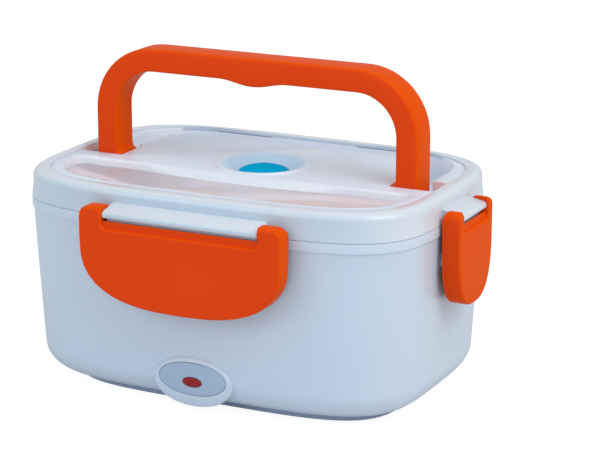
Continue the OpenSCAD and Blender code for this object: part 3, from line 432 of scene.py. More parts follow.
class Workshop:
    """Modelling moves, the finishes, and the record of what each piece stands for."""

    def __init__(self) -> None:
        """Opens the palette and starts the count of pieces."""
        self.palette = Palette()
        self.count = 0

    @staticmethod
    def only(piece: bpy.types.Object | None = None) -> None:
        """Deselects everything, then selects the piece and makes it active."""
        bpy.ops.object.select_all(action="DESELECT")
        if piece is not None:
            piece.select_set(True)
            bpy.context.view_layer.objects.active = piece

    def edit(self, piece: bpy.types.Object, moves: Callable[[], None]) -> None:
        """Runs moves on the whole piece in edit mode."""
        self.only(piece)
        bpy.ops.object.mode_set(mode="EDIT")
        bpy.ops.mesh.select_all(action="SELECT")
        moves()
        bpy.ops.object.mode_set(mode="OBJECT")

    def smooth(self, piece: bpy.types.Object, degrees: float = 32.0) -> None:
        """Shades the piece smooth, except across edges sharper than the angle."""
        self.only(piece)
        bpy.ops.object.shade_smooth_by_angle(angle=math.radians(degrees))

    def settle(self, piece: bpy.types.Object) -> None:
        """Puts the piece's place, turn and size into its mesh."""
        self.only(piece)
        bpy.ops.object.transform_apply(location=True, rotation=True, scale=True)

    def face_side(self, piece: bpy.types.Object, quarter: int) -> None:
        """Turns a piece made for the front to the side that lies so many quarter turns on."""
        piece.rotation_euler = (0, 0, quarter * QUARTER_TURN)
        self.settle(piece)

    def modify(self, piece: bpy.types.Object, kind: str, **settings: Any) -> None:
        """Adds a modifier with these settings and applies it."""
        self.only(piece)
        modifier = piece.modifiers.new(kind.title(), kind)
        for key, value in settings.items():
            setattr(modifier, key, value)
        bpy.ops.object.modifier_apply(modifier=modifier.name)

    def loft(
        self, name: str, outline: Outline, rows: Sequence[Place], closed: bool = False
    ) -> bpy.types.Object:
        """Draws an outline up through rows, as a moulded wall or solid.

        Args:
            name: Name of the piece.
            outline: Unit outline of every row.
            rows: Half length, half width and height of each row, in millimetres.
            closed: Whether the last row joins the first, as in the section of a ring.

        Returns:
            The new piece.
        """
        self.only()
        bpy.ops.mesh.primitive_circle_add(vertices=outline.steps, radius=1.0)
        piece = bpy.context.object
        piece.name = name
        half_l, half_w, height = rows[0]
        for vertex in piece.data.vertices:
            x, y = outline.at(math.atan2(vertex.co.y, vertex.co.x))
            vertex.co = (x * half_l * MM, y * half_w * MM, height * MM)

        def raise_rows() -> None:
            """Extrudes and resizes the rim once for each further row."""
            path = [*rows[1:], rows[0]] if closed else rows[1:]
            for low, high in zip(rows, path):
                rise = (high[2] - low[2]) * MM
                bpy.ops.mesh.extrude_region_move(TRANSFORM_OT_translate={"value": (0, 0, rise)})
                bpy.ops.transform.resize(
                    value=(high[0] / low[0], high[1] / low[1], 1.0),
                    center_override=(0, 0, high[2] * MM),
                )
            bpy.ops.mesh.select_all(action="SELECT")
            if closed:
                bpy.ops.mesh.remove_doubles(threshold=MERGE)
            else:
                bpy.ops.mesh.fill_holes(sides=0)
            bpy.ops.mesh.select_all(action="SELECT")
            bpy.ops.mesh.normals_make_consistent(inside=False)

        self.edit(piece, raise_rows)
        return piece

    def prism(
        self, name: str, points: Sequence[Point], start: float, end: float, axis: Axis,
        round_off: float = 0.0,
    ) -> bpy.types.Object:
        """Draws a section out along an axis.

        Args:
            name: Name of the piece.
            points: The section's points in millimetres, in the two other axes' order.
            start: First end along the axis, in millimetres.
            end: Last end along the axis, in millimetres.
            axis: The direction that it is drawn along.
            round_off: Width of the rounding on its sharp edges, in millimetres.

        Returns:
            The new piece.
        """
        self.only()
        bpy.ops.mesh.primitive_circle_add(vertices=len(points), radius=1.0, fill_type="NGON")
        piece = bpy.context.object
        piece.name = name
        order = {Axis.ALONG: (2, 0, 1), Axis.ACROSS: (0, 2, 1), Axis.UP: (0, 1, 2)}[axis]
        for vertex, point in zip(piece.data.vertices, points):
            place = (point[0] * MM, point[1] * MM, start * MM)
            vertex.co = tuple(place[i] for i in order)
        way = [0.0, 0.0, 0.0]
        way["xyz".index(axis.value)] = (end - start) * MM

        def draw_out() -> None:
            """Extrudes the section and turns its faces outwards."""
            bpy.ops.mesh.extrude_region_move(TRANSFORM_OT_translate={"value": tuple(way)})
            bpy.ops.mesh.select_all(action="SELECT")
            bpy.ops.mesh.normals_make_consistent(inside=False)

        self.edit(piece, draw_out)
        if round_off:
            self.round_edges(piece, round_off)
        return piece

    def stack(
        self, name: str, rows: Sequence[tuple[Sequence[Point], float]]
    ) -> bpy.types.Object:
        """Draws an outline up through rows that each have points of their own.

        Args:
            name: Name of the piece.
            rows: Points and height of each row, in millimetres, with as many points in each.

        Returns:
            The new piece.
        """
        base = rows[0][0]
        piece = self.prism(name, base, rows[0][1], rows[-1][1], Axis.UP)

        def cut_rows() -> None:
            """Cuts the straight wall at the height of each row between the two ends."""
            for _, height in rows[1:-1]:
                bpy.ops.mesh.select_all(action="SELECT")
                bpy.ops.mesh.bisect(
                    plane_co=(0, 0, height * MM), plane_no=(0, 0, 1), threshold=1e-7
                )

        self.edit(piece, cut_rows)
        tree = KDTree(len(base))
        for k, (x, y) in enumerate(base):
            tree.insert((x * MM, y * MM, 0.0), k)
        tree.balance()
        for vertex in piece.data.vertices:
            k = tree.find((vertex.co.x, vertex.co.y, 0.0))[1]
            points = min(rows, key=lambda row: abs(row[1] * MM - vertex.co.z))[0]
            vertex.co.x, vertex.co.y = points[k][0] * MM, points[k][1] * MM
        return piece

    def round_edges(self, piece: bpy.types.Object, width: float, segments: int = 3) -> None:
        """Rounds every sharp edge by a width in millimetres."""
        self.modify(
            piece, "BEVEL", width=width * MM, segments=segments, limit_method="ANGLE",
            angle_limit=math.radians(SHARP), use_clamp_overlap=False, miter_outer="MITER_ARC",
        )

    def soften(
        self, piece: bpy.types.Object, width: float, chosen: Callable[[Vector], bool]
    ) -> None:
        """Rounds those sharp edges whose two ends are both chosen.

        Args:
            piece: The piece.
            width: Width of the rounding, in millimetres.
            chosen: Whether a point, in metres, may be an end of such an edge.
        """

        def find_sharp() -> None:
            """Selects every sharp edge."""
            bpy.ops.mesh.select_mode(type="EDGE")
            bpy.ops.mesh.select_all(action="DESELECT")
            bpy.ops.mesh.edges_select_sharp(sharpness=math.radians(SHARP))

        self.edit(piece, find_sharp)
        mesh = piece.data
        ends = [chosen(vertex.co) for vertex in mesh.vertices]
        picked = [e.select and all(ends[k] for k in e.vertices) for e in mesh.edges]
        mesh.polygons.foreach_set("select", [False] * len(mesh.polygons))
        mesh.vertices.foreach_set("select", [False] * len(mesh.vertices))
        mesh.edges.foreach_set("select", picked)
        self.only(piece)
        bpy.ops.object.mode_set(mode="EDIT")
        bpy.ops.mesh.bevel(
            offset=width * MM, segments=4, affect="EDGES", clamp_overlap=False, miter_outer="ARC"
        )
        bpy.ops.mesh.select_mode(type="VERT")
        bpy.ops.object.mode_set(mode="OBJECT")

    def carve(self, piece: bpy.types.Object, tool: bpy.types.Object, how: str) -> None:
        """Joins, cuts or crosses the piece with a tool, which is used up."""
        self.modify(piece, "BOOLEAN", object=tool, operation=how, solver="EXACT")
        bpy.data.objects.remove(tool)

    def copy_of(self, node: str, name: str) -> bpy.types.Object:
        """Copies a CAD node into a new piece with merged points and whole flat faces.

        Args:
            node: Name of the CAD node.
            name: Name of the new piece.

        Returns:
            The new piece, with a mesh of its own.
        """
        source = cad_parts[node]
        piece = bpy.data.objects.new(name, source.data.copy())
        bpy.context.scene.collection.objects.link(piece)

        def merge() -> None:
            """Merges the loose triangles and dissolves the lines inside flat faces."""
            bpy.ops.mesh.remove_doubles(threshold=MERGE)
            bpy.ops.mesh.dissolve_limited(angle_limit=math.radians(0.6))

        self.edit(piece, merge)
        return piece

    def dress(
        self, piece: bpy.types.Object, body: str, finish: str, nodes: Iterable[str]
    ) -> None:
        """Gives a piece its finish and body, and says what it stands for.

        Args:
            piece: The finished piece.
            body: Name of the body that it rides on.
            finish: Name of its finish in the palette.
            nodes: The CAD nodes that it replaces.
        """
        piece.data.materials.clear()
        piece.data.materials.append(self.palette.get(finish))
        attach(piece, body)
        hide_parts(*nodes)
        self.count += 1
        LOG.info(
            "%s rides on %s in %s, %d faces", piece.name, body, finish, len(piece.data.polygons)
        )


# Sub-assemblies


@dataclass
class BodyPlan:
    """Sizes in plan that the body and the lid share, in millimetres."""

    half_l: float = 107.5
    half_w: float = 73.0
    rim_z: float = 97.0
    band_h: float = 5.2
    band_d: float = 0.7
    draft: float = 3.4
    base_z: float = 5.0
    long_bar: float = 42.0
    short_bar: float = 15.4
    pin_out: float = 6.6
    pin_z: float = 100.4

    def row(self, inset: float, height: float) -> Place:
        """A loft's row that lies an inset inside the rim's outline."""
        return (self.half_l - inset, self.half_w - inset, height)

    def side(self, quarter: int) -> Point:
        """How far out a side lies, and half the length of its hinge bar."""
        return (self.half_l, self.short_bar) if quarter % 2 else (self.half_w, self.long_bar)


def oval(half: Point, height: float, power: float = 2.08) -> list[Point]:
    """Oval about the middle of the front, as points across and up."""
    outline = Outline(power, 96)
    return [(half[0] * x, height + half[1] * y)
            for x, y in (outline.at(math.tau * k / 96) for k in range(96))]


@dataclass(frozen=True)
class OvalBlock:
    """Oval block, drawn from front to back, that a piece gains or loses."""

    name: str
    how: str
    half: Point
    height: float
    face: float
    depth: float
    round_off: float = 0.0

    def work_on(self, shop: Workshop, piece: bpy.types.Object) -> None:
        """Joins the block to the piece or cuts it out."""
        outline = oval(self.half, self.height)
        block = shop.prism(self.name, outline, self.face, self.face + self.depth, Axis.ACROSS)
        if self.round_off:
            shop.round_edges(block, self.round_off, segments=4)
        shop.carve(piece, block, self.how)


@dataclass
class Shell:
    """Outer shell with its band, rounded bottom, catch ribs and two bosses."""

    plan: BodyPlan
    bottom_r: float = 15.0
    wall: float = 2.4
    seat_in: float = 1.4
    ledge_in: float = 2.6
    ledge_z: float = 89.65
    lip_w: float = 5.0
    boss_y: float = -71.6
    boss_z: float = 18.2
    keel_half: Point = (21.0, 11.6)
    keel_z: float = 16.7
    panel_half: Point = (18.6, 8.5)
    bay_half: Point = (18.4, 8.3)
    panel_z: float = 19.4
    inlet_half: Point = (18.0, 12.4)
    inlet_y: float = 70.6
    inlet_z: float = 20.5
    rear_keel_half: Point = (17.6, 10.1)
    rear_keel_z: float = 18.2
    socket_half: Point = (10.5, 6.2)
    rib_halves: Point = (42.7, 15.2)
    rib_out: float = 1.25
    rib_w: float = 1.6
    rib_deep: float = 3.0
    rib_heights: Place = (76.0, 80.0, 82.2)

    def wall_rows(self) -> list[Place]:
        """Rows of the shell's section, up the outside and down the inside."""
        p = self.plan
        corner = (p.draft + self.bottom_r, p.base_z + self.bottom_r)
        top = p.rim_z - p.band_h
        outside = arc(corner, self.bottom_r, 270, 180, 14)
        foot = outside[-1][1]
        lean = [(p.draft * (1 - k / 6) ** 1.15, foot + (top - 0.5 - foot) * k / 6)
                for k in range(1, 7)]
        band = [(-0.10, top - 0.05), (-0.45, top + 0.1), (-p.band_d, top + 0.5)]
        rim = [(-p.band_d, p.rim_z - 0.5), (0.15 - p.band_d, p.rim_z - 0.15),
               (0.5 - p.band_d, p.rim_z), (self.seat_in - 0.3, p.rim_z),
               (self.seat_in, p.rim_z - 0.3)]
        inside = [(self.seat_in, self.ledge_z), (self.ledge_in, self.ledge_z)]
        bowl = arc(corner, self.bottom_r - self.wall, 180, 270, 10)
        lip = [(corner[0] + self.lip_w, p.base_z + self.wall), (corner[0] + self.lip_w, p.base_z)]
        section = [*outside, *lean, *band, *rim, *inside, *bowl, *lip]
        return [p.row(inset, height) for inset, height in section]

    def front_boss(self, shop: Workshop) -> bpy.types.Object:
        """Boss round the indicator panel, whose top slopes back into the shell."""
        out, z = -self.boss_y, self.boss_z
        rows = [
            (oval((half_x, half_z), z - drop), out - back)
            for half_x, half_z, drop, back in (
                (21.5, 12.55, 0.55, 6.3), (21.5, 12.55, 0.55, 1.4), (21.35, 12.2, 0.65, 0.65),
                (21.0, 11.85, 0.75, 0.25), (20.3, 11.3, 0.9, 0.0),
            )
        ]
        piece = shop.stack("front_boss", rows)
        piece.rotation_euler = (QUARTER_TURN, 0, 0)
        shop.settle(piece)
        return piece

    def build(self, shop: Workshop) -> None:
        """Builds the shell and its ribs, and dresses them."""
        piece = shop.loft("shell_wall", BODY, self.wall_rows(), closed=True)
        shop.carve(piece, self.front_boss(shop), "UNION")
        front, rear = self.boss_y, self.inlet_y
        for block in (
            OvalBlock("front_keel", "UNION", self.keel_half, self.keel_z, front + 4.0, 12.0, 0.4),
            OvalBlock("panel_seat", "DIFFERENCE", self.panel_half, self.panel_z, front - 1.0, 1.8),
            OvalBlock("board_bay", "DIFFERENCE", self.bay_half, self.panel_z, front + 2.4, 20.0),
            OvalBlock("rear_boss", "UNION", self.inlet_half, self.inlet_z, rear - 5.0, 5.0, 1.2),
            OvalBlock("rear_keel", "UNION", self.rear_keel_half, self.rear_keel_z, rear - 14.0,
                      10.0, 0.4),
            OvalBlock("inlet_hole", "DIFFERENCE", self.socket_half, self.inlet_z, rear - 16.0,
                      18.0),
        ):
            block.work_on(shop, piece)
        shop.smooth(piece)
        shop.dress(piece, "base", "white_shell", ["outer_shell"])
        for quarter in range(4):
            self.rib(shop, quarter)

    def rib(self, shop: Workshop, quarter: int) -> None:
        """One catch rib with a short tick at each end, on one of the four sides."""
        half, wide = self.rib_halves[quarter % 2], self.rib_w
        face = self.plan.side(quarter)[0] + self.rib_out
        tick, low, high = self.rib_heights
        points = [(-half, high), (-half, tick), (wide - half, tick), (wide - half, low),
                  (half - wide, low), (half - wide, tick), (half, tick), (half, high)]
        piece = shop.prism(
            f"catch_rib_{quarter + 1}", points, -face, self.rib_deep - face, Axis.ACROSS,
            round_off=0.35,
        )
        shop.face_side(piece, quarter)
        shop.smooth(piece)
        shop.dress(piece, "base", "white_shell", ["outer_shell"])


@dataclass
class Indicator:
    """Oval indicator panel with its red lens, set in the front boss."""

    face_y: float = -71.8
    panel_z: float = 19.4
    lens_z: float = 17.8
    panel_half: Point = (18.3, 8.2)
    lens_half: Point = (5.15, 2.45)
    opening_half: Point = (5.35, 2.65)
    flange_half: Point = (6.1, 3.4)

    def ellipse(
        self, shop: Workshop, name: str, half: Point, start: float, end: float
    ) -> bpy.types.Object:
        """Elliptical block at the lens, from one depth behind the face to another."""
        return shop.prism(
            name, oval(half, self.lens_z, 2.0), self.face_y + start, self.face_y + end, Axis.ACROSS
        )

    def build(self, shop: Workshop) -> None:
        """Builds the panel with its opening, then the lens with its flange."""
        plate = shop.prism(
            "indicator_plate", oval(self.panel_half, self.panel_z), self.face_y, self.face_y + 1.0,
            Axis.ACROSS,
        )
        hole = self.ellipse(shop, "lens_hole", self.opening_half, -1.0, 2.0)
        shop.carve(plate, hole, "DIFFERENCE")
        shop.round_edges(plate, 0.2)
        shop.smooth(plate)
        shop.dress(plate, "base", "panel_grey", ["indicator_panel"])
        lens = self.ellipse(shop, "indicator_light", self.lens_half, -0.3, 2.8)
        shop.round_edges(lens, 0.45)
        flange = self.ellipse(shop, "lens_flange", self.flange_half, 2.6, 3.1)
        shop.carve(lens, flange, "UNION")
        shop.smooth(lens)
        shop.dress(lens, "base", "lens_red", ["indicator_lens"])


@dataclass
class Tubs:
    """Inner well and food tub, both tapered trays with a turned-out rim."""

    plan: BodyPlan

    def build(self, shop: Workshop) -> None:
        """Builds the well with its plate opening, and the food tub."""
        p = self.plan
        well = [
            (12.9, 29.4), (10.6, 29.7), (9.3, 30.6), (8.3, 33.0), (8.0, 35.0), (4.6, 89.65),
            (1.55, 89.65), (1.55, 91.1), (1.7, 91.25), (5.9, 91.25), (6.25, 91.0), (9.6, 36.0),
            (10.0, 33.6), (11.1, 32.0), (12.6, 31.2), (14.6, 31.0),
        ]
        piece = shop.loft("well_wall", BODY, [p.row(*row) for row in well])
        hole = shop.prism(
            "plate_hole", arc((0.0, 0.0), 46.0, 0.0, 356.25, 95), 27.0, 33.0, Axis.UP
        )
        shop.carve(piece, hole, "DIFFERENCE")
        shop.smooth(piece)
        shop.dress(piece, "base", "tray_white", ["inner_well"])
        tub = [
            (18.0, 33.4), (14.6, 33.7), (13.0, 35.0), (12.1, 38.9), (8.67, 86.85), (7.3, 87.25),
            (7.07, 87.5), (7.07, 89.6), (7.5, 90.05), (9.7, 90.05), (10.17, 89.6), (13.5, 39.9),
            (14.4, 37.6), (16.0, 35.8), (20.0, 34.9),
        ]
        piece = shop.loft("tub_wall", BODY, [p.row(*row) for row in tub])
        shop.smooth(piece, 40)
        shop.dress(piece, "container", "tray_white", ["food_container"])


@dataclass
class LidRing:
    """White ring of the lid with its rounded top edge and the four hinge bars."""

    plan: BodyPlan
    low_z: float = 97.1
    top_z: float = 111.3
    edge_r: float = 4.0
    ring_w: float = 7.6
    ring_t: float = 2.1
    nose_r: float = 2.0
    pin_r: float = 2.0
    rib_in: float = 1.4
    pin_lengths: Point = (5.5, 3.6)

    def build(self, shop: Workshop) -> None:
        """Builds the ring, notched over the trough, then each hinge bar with its pins."""
        p = self.plan
        corner = (self.edge_r, self.top_z - self.edge_r)
        low, top, wide = self.low_z, self.top_z, self.ring_w
        section = [
            (0.35 - p.band_d, low), (-p.band_d, low + 0.35), (-0.52, low + 1.8), (-0.2, low + 4.2),
            (0.0, low + 6.5), *arc(corner, self.edge_r, 180, 90, 10), (wide - 0.45, top),
            (wide - 0.13, top - 0.13), (wide, top - 0.45), (wide, top - self.ring_t),
            *arc(corner, self.edge_r - self.ring_t, 90, 180, 5), (self.ring_t, low + 6.5),
            (self.ring_t - p.band_d / 2, low),
        ]
        piece = shop.loft("lid_ring", BODY, [p.row(*row) for row in section], closed=True)
        trough = LidPanel(p).trough()
        notch = shop.stack("ring_notch", [(trough, top - 4.0), (trough, top + 1.0)])
        shop.carve(piece, notch, "DIFFERENCE")
        shop.smooth(piece)
        shop.dress(piece, "lid", "lid_white", ["lid_frame"])
        for quarter in range(4):
            self.bar(shop, quarter)

    def bar(self, shop: Workshop, quarter: int) -> None:
        """One hinge bar on its side of the lid, with the pins at its two ends."""
        reach, half = self.plan.side(quarter)
        name, end = f"hinge_bar_{quarter + 1}", half + self.pin_lengths[quarter % 2]
        y, z = -reach - self.plan.pin_out, self.plan.pin_z
        nose = [(y - 3.05, z - 1.6), *arc((y - 2.1, z + 0.05), self.nose_r, 235, 115, 6),
                (y - 2.2, z + 2.15)]
        points = [(y + 7.6, z - 1.9), *nose, (y + 6.2, z + 4.0), (y + 7.6, z + 4.2)]
        piece = shop.prism(name, points[::-1], -half, half, Axis.ALONG, round_off=0.3)
        step = [(y - 0.6, z - 6.0), (y + 1.2, z - 6.0), (y + 1.2, z), (y - 1.5, z),
                (y - 1.5, z - 3.2), (y - 0.6, z - 3.6)]
        rib = shop.prism(
            name + "_rib", step, self.rib_in - half, half - self.rib_in, Axis.ALONG,
            round_off=0.15,
        )
        shop.carve(piece, rib, "UNION")
        pin = shop.prism(name + "_pin", arc((y, z), self.pin_r, 0, 352.5, 47), -end, end,
                         Axis.ALONG)
        shop.carve(piece, pin, "UNION")
        shop.face_side(piece, quarter)
        shop.smooth(piece)
        shop.dress(piece, "lid", "lid_white", ["lid_frame"])


@dataclass
class LidPanel:
    """Translucent top panel with its ridge, spoon recess, vent dish and handle trough."""

    plan: BodyPlan
    edge_in: float = 7.75
    deck_z: float = 110.6
    low_z: float = 109.2
    pan_t: float = 1.6
    recess_in: float = 13.4
    floor_z: float = 104.9
    cover_top: float = 106.5
    tray_z: float = 97.0
    tray_in: float = 2.2
    ridge_y: float = 18.2
    foot_y: float = 22.6
    foot_r: float = 344.0
    turn_r: float = 5.0
    trough_z: float = 95.25
    trough_turn: Point = (57.0, 31.35)
    trough_radii: Point = (34.0, 20.6)
    swell: float = 2.7
    swell_half: float = 19.5
    grip_y: float = 51.95
    soft: float = 0.5
    crest: float = 1.3

    def lid_outline(self, inset: float) -> list[Point]:
        """Outline of the lid at an inset."""
        half_l, half_w, _ = self.plan.row(inset, 0.0)
        turns = [math.tau * k / BODY.steps for k in range(BODY.steps)]
        return [(half_l * x, half_w * y) for x, y in map(BODY.at, turns)]

    def foot(self, x: float) -> float:
        """Place of the ridge's foot at a distance from the middle."""
        arc_y = self.foot_r - self.foot_y - math.sqrt(self.foot_r ** 2 - x * x)
        return min(-self.ridge_y, arc_y)

    def rise(self, height: float) -> float:
        """Share of the ridge's height that a height makes."""
        return (height - self.cover_top) / (self.deck_z - self.cover_top)

    def recess(
        self, grow: float = 0.0, rise: float = 0.0, extra: float = 0.0
    ) -> list[Point]:
        """Outline of the recess in front of the ridge.

        Args:
            grow: How far the outline moves outwards, in millimetres.
            rise: Share of the ridge's height, from 0 at its foot to 1 at its top.
            extra: How much further the ridge's side moves out, in millimetres.

        Returns:
            The points, counter-clockwise from the left end of the ridge.
        """
        half_l, half_w, _ = self.plan.row(self.recess_in - grow, 0.0)
        turn, end_y = self.turn_r + grow, self.ridge_y - grow
        span = math.acos(((end_y + turn) / half_w) ** (BODY.power / 2))
        turns = [span * k / 120 - QUARTER_TURN for k in range(-120, 121)]
        low = [(half_l * x, half_w * y) for x, y in map(BODY.at, turns)]
        inner = low[-1][0] - turn
        right = arc((inner, -end_y - turn), turn, 0, 90, 8)[1:]
        back = []
        for k in range(1, 80):
            x = inner * (1 - k / 40)
            foot = self.foot(x)
            lift = extra * min(1.0, (inner - abs(x)) / self.turn_r)
            back.append((x, foot + (-self.ridge_y - foot) * rise + grow + lift))
        return [*low, *right, *back, *((-x, y) for x, y in right[::-1])]

    def trough(self) -> list[Point]:
        """Outline of the trough that takes the folded handle and lets its feet turn."""
        turn, (wide, tight) = self.trough_turn, self.trough_radii
        outer = [(75.3, -7.45), (99.6, -7.45), (99.6, 11.45), (91.0, 11.45),
                 *arc(turn, wide, 0, 90, 16)]
        swell = [
            (self.swell_half * k / 8,
             self.grip_y - self.swell * (0.5 + 0.5 * math.cos(math.pi * k / 8)))
            for k in range(9)
        ]
        inner = [*swell, *arc(turn, tight, 90, 0, 12), (77.6, 15.39), (75.3, 15.39)]
        mirror = [(-x, y) for x, y in outer[::-1]]
        back = [(-x, y) for x, y in inner[::-1]]
        return [*outer, *mirror, *back, *inner[1:]]

    def build(self, shop: Workshop) -> None:
        """Builds the panel from its plates, sinks its hollows and dresses it."""
        top, soft, pan = self.deck_z, self.soft, self.pan_t
        edge, trough, inset = self.lid_outline(self.edge_in), self.trough(), self.tray_in
        piece = shop.stack("lid_deck", [
            (edge, self.low_z), (edge, top - 0.25), (grown(edge, -0.08), top - 0.08),
            (grown(edge, -0.25), top)])
        wide, deep, pocket = self.recess(pan), self.recess(pan - inset), grown(trough, pan)
        lean = self.recess(pan, self.rise(self.low_z + 0.5))
        pans = (
            shop.stack("recess_pan", [
                (wide, self.floor_z - pan), (wide, self.cover_top), (lean, self.low_z + 0.5)]),
            shop.stack("tray_pan", [(deep, self.tray_z - pan), (deep, self.low_z + 0.4)]),
            shop.stack("trough_pan", [(pocket, self.trough_z - pan), (pocket, self.low_z + 0.3)]),
            self.turned(shop, "vent_pan", [
                (0.3, 103.4), (15.8, 103.4), (23.4, 109.15), (24.4, 110.5), (24.35, 110.95),
                (24.1, 111.3), (23.6, 111.5), (22.8, 111.5), (0.3, 111.5)]),
        )
        for each in pans:
            shop.carve(piece, each, "UNION")

        def close_up() -> None:
            """Fills the sliver that joining the pans leaves open under the ridge's end."""
            bpy.ops.mesh.select_all(action="SELECT")
            bpy.ops.mesh.fill_holes(sides=4)

        shop.edit(piece, close_up)
        curve = [(1 - math.cos(math.radians(a)), 1 - math.sin(math.radians(a)))
                 for a in (0, 30, 60, 90)]
        tools = (
            self.ridge_tool(shop, curve),
            shop.stack("tray_tool", [
                (self.recess(-0.6 - inset), self.tray_z),
                (self.recess(-0.18 - inset), self.tray_z + 0.18),
                (self.recess(-inset), self.tray_z + 0.6),
                (self.recess(-inset), self.floor_z + 0.6)]),
            shop.stack("trough_tool", [
                (grown(trough, -0.6), self.trough_z), (grown(trough, -0.18), self.trough_z + 0.18),
                (trough, self.trough_z + 0.6),
                *((grown(trough, soft * out), top - soft * down) for out, down in curve),
                (grown(trough, soft), top + 2.0)]),
            self.turned(shop, "vent_tool", [
                (0.3, 105.0), (13.8, 105.0), (14.4, 105.25), (19.3, 110.35), (19.9, 110.75),
                (22.3, 111.38), (22.8, 111.5), (22.8, 112.5), (0.3, 112.5)]),
            self.turned(shop, "stem_hole", [(4.9, 102.0), (4.9, 106.0)]),
        )
        for tool in tools:
            shop.carve(piece, tool, "DIFFERENCE")
        shop.smooth(piece)
        shop.dress(piece, "lid", "lid_panel", ["lid_top"])

    def ridge_tool(self, shop: Workshop, curve: Sequence[Point]) -> bpy.types.Object:
        """Tool that sinks the recess, which leans back under the ridge.

        Args:
            shop: The workshop.
            curve: How far out and down each row of a rounded edge of radius 1 lies.

        Returns:
            The tool.
        """
        top, crest = self.deck_z, self.crest
        rows = [(self.recess(), self.floor_z), (self.recess(), self.cover_top)]
        for out, down in curve:
            height = top - crest * down
            points = self.recess(self.soft * out, self.rise(height), (crest - self.soft) * out)
            rows.append((points, height))
        return shop.stack("recess_tool", [*rows, (rows[-1][0], top + 2.0)])

    def turned(self, shop: Workshop, name: str, rows: Sequence[Point]) -> bpy.types.Object:
        """Solid turned about the vent's axis."""
        piece = shop.loft(name, ROUND, [(r, r, z) for r, z in rows])
        piece.location = (0, VENT_Y * MM, 0)
        shop.settle(piece)
        return piece


@dataclass
class CarryHandle:
    """Carry handle drawn out as one tube, with rounded feet and pivot pins."""

    half_l: float = 90.2
    width: float = 11.8
    thick: float = 17.3
    centre_y: float = 2.0
    pivot_z: float = 104.35
    top_z: float = 166.9
    turn_x: float = 57.0
    turn_z: float = 133.7
    flare: float = 2.3
    edge: float = 1.7
    swell: float = 2.7
    swell_half: float = 19.5
    swell_steps: int = 12
    foot_rise: float = 5.95
    pin_r: float = 2.6
    pin_start: float = -4.0
    pin_end: float = 12.0

    def build(self, shop: Workshop) -> None:
        """Builds one half along its path, mirrors it and dresses it."""
        shop.only()
        wide = self.width + self.flare
        bpy.ops.mesh.primitive_plane_add(size=1.0)
        piece = bpy.context.object
        piece.name = "handle_grip"

        def draw_path() -> None:
            """Draws the section up the leg, round the corner and along the grip."""
            y = self.centre_y * MM
            bpy.ops.transform.resize(value=(wide * MM, self.thick * MM, 1.0))
            bpy.ops.mesh.bevel(offset=self.edge * MM, segments=4, affect="VERTICES")
            bpy.ops.mesh.select_all(action="SELECT")
            bpy.ops.mesh.delete(type="ONLY_FACE")
            bpy.ops.mesh.select_all(action="SELECT")
            bpy.ops.transform.translate(
                value=((self.half_l - wide / 2) * MM, y, self.pivot_z * MM)
            )
            outer = (self.half_l * MM, y, 0.0)
            before, height = wide, self.pivot_z
            for rise, after in (
                (self.foot_rise, wide), (0.5, wide - 0.9), (0.6, wide - 1.7), (2.1, self.width),
            ):
                bpy.ops.mesh.extrude_region_move(
                    TRANSFORM_OT_translate={"value": (0, 0, rise * MM)}
                )
                bpy.ops.transform.resize(value=(after / before, 1, 1), center_override=outer)
                before, height = after, height + rise
            bpy.ops.mesh.extrude_region_move(
                TRANSFORM_OT_translate={"value": (0, 0, (self.turn_z - height) * MM)}
            )
            bpy.ops.mesh.spin(
                steps=18, angle=math.radians(90), axis=(0, 1, 0),
                center=(self.turn_x * MM, y, self.turn_z * MM),
            )
            bpy.ops.mesh.extrude_region_move(
                TRANSFORM_OT_translate={"value": ((self.swell_half - self.turn_x) * MM, 0, 0)}
            )
            steps, deep = self.swell_steps, self.width
            for k in range(1, steps + 1):
                x = self.swell_half * (1 - k / steps)
                swollen = self.width + self.swell * (0.5 - 0.5 * math.cos(math.pi * k / steps))
                bpy.ops.mesh.extrude_region_move(
                    TRANSFORM_OT_translate={"value": (-self.swell_half / steps * MM, 0, 0)}
                )
                bpy.ops.transform.resize(
                    value=(1, 1, swollen / deep), center_override=(x * MM, y, self.top_z * MM)
                )
                deep = swollen

        shop.edit(piece, draw_path)
        shop.modify(piece, "MIRROR", use_axis=(True, False, False), merge_threshold=2e-5)

        def close_up() -> None:
            """Closes the two feet and turns the faces outwards."""
            bpy.ops.mesh.remove_doubles(threshold=MERGE)
            bpy.ops.mesh.fill_holes(sides=0)
            bpy.ops.mesh.select_all(action="SELECT")
            bpy.ops.mesh.normals_make_consistent(inside=False)

        shop.edit(piece, close_up)
        for side in (-1, 1):
            pivot = (self.centre_y, self.pivot_z)
            inner, outer = (self.half_l - wide) * side, self.half_l * side
            foot = shop.prism(
                "foot", arc(pivot, self.thick / 2, 0, 354, 59), inner, outer, Axis.ALONG
            )
            shop.round_edges(foot, self.edge)
            shop.carve(piece, foot, "UNION")
            pin = shop.prism(
                "pin", arc(pivot, self.pin_r, 0, 352.5, 47), outer + self.pin_start * side,
                outer + self.pin_end * side, Axis.ALONG, round_off=0.4,
            )
            shop.carve(piece, pin, "UNION")
        shop.smooth(piece, 40)
        shop.dress(piece, "carry_handle", "orange", ["handle"])


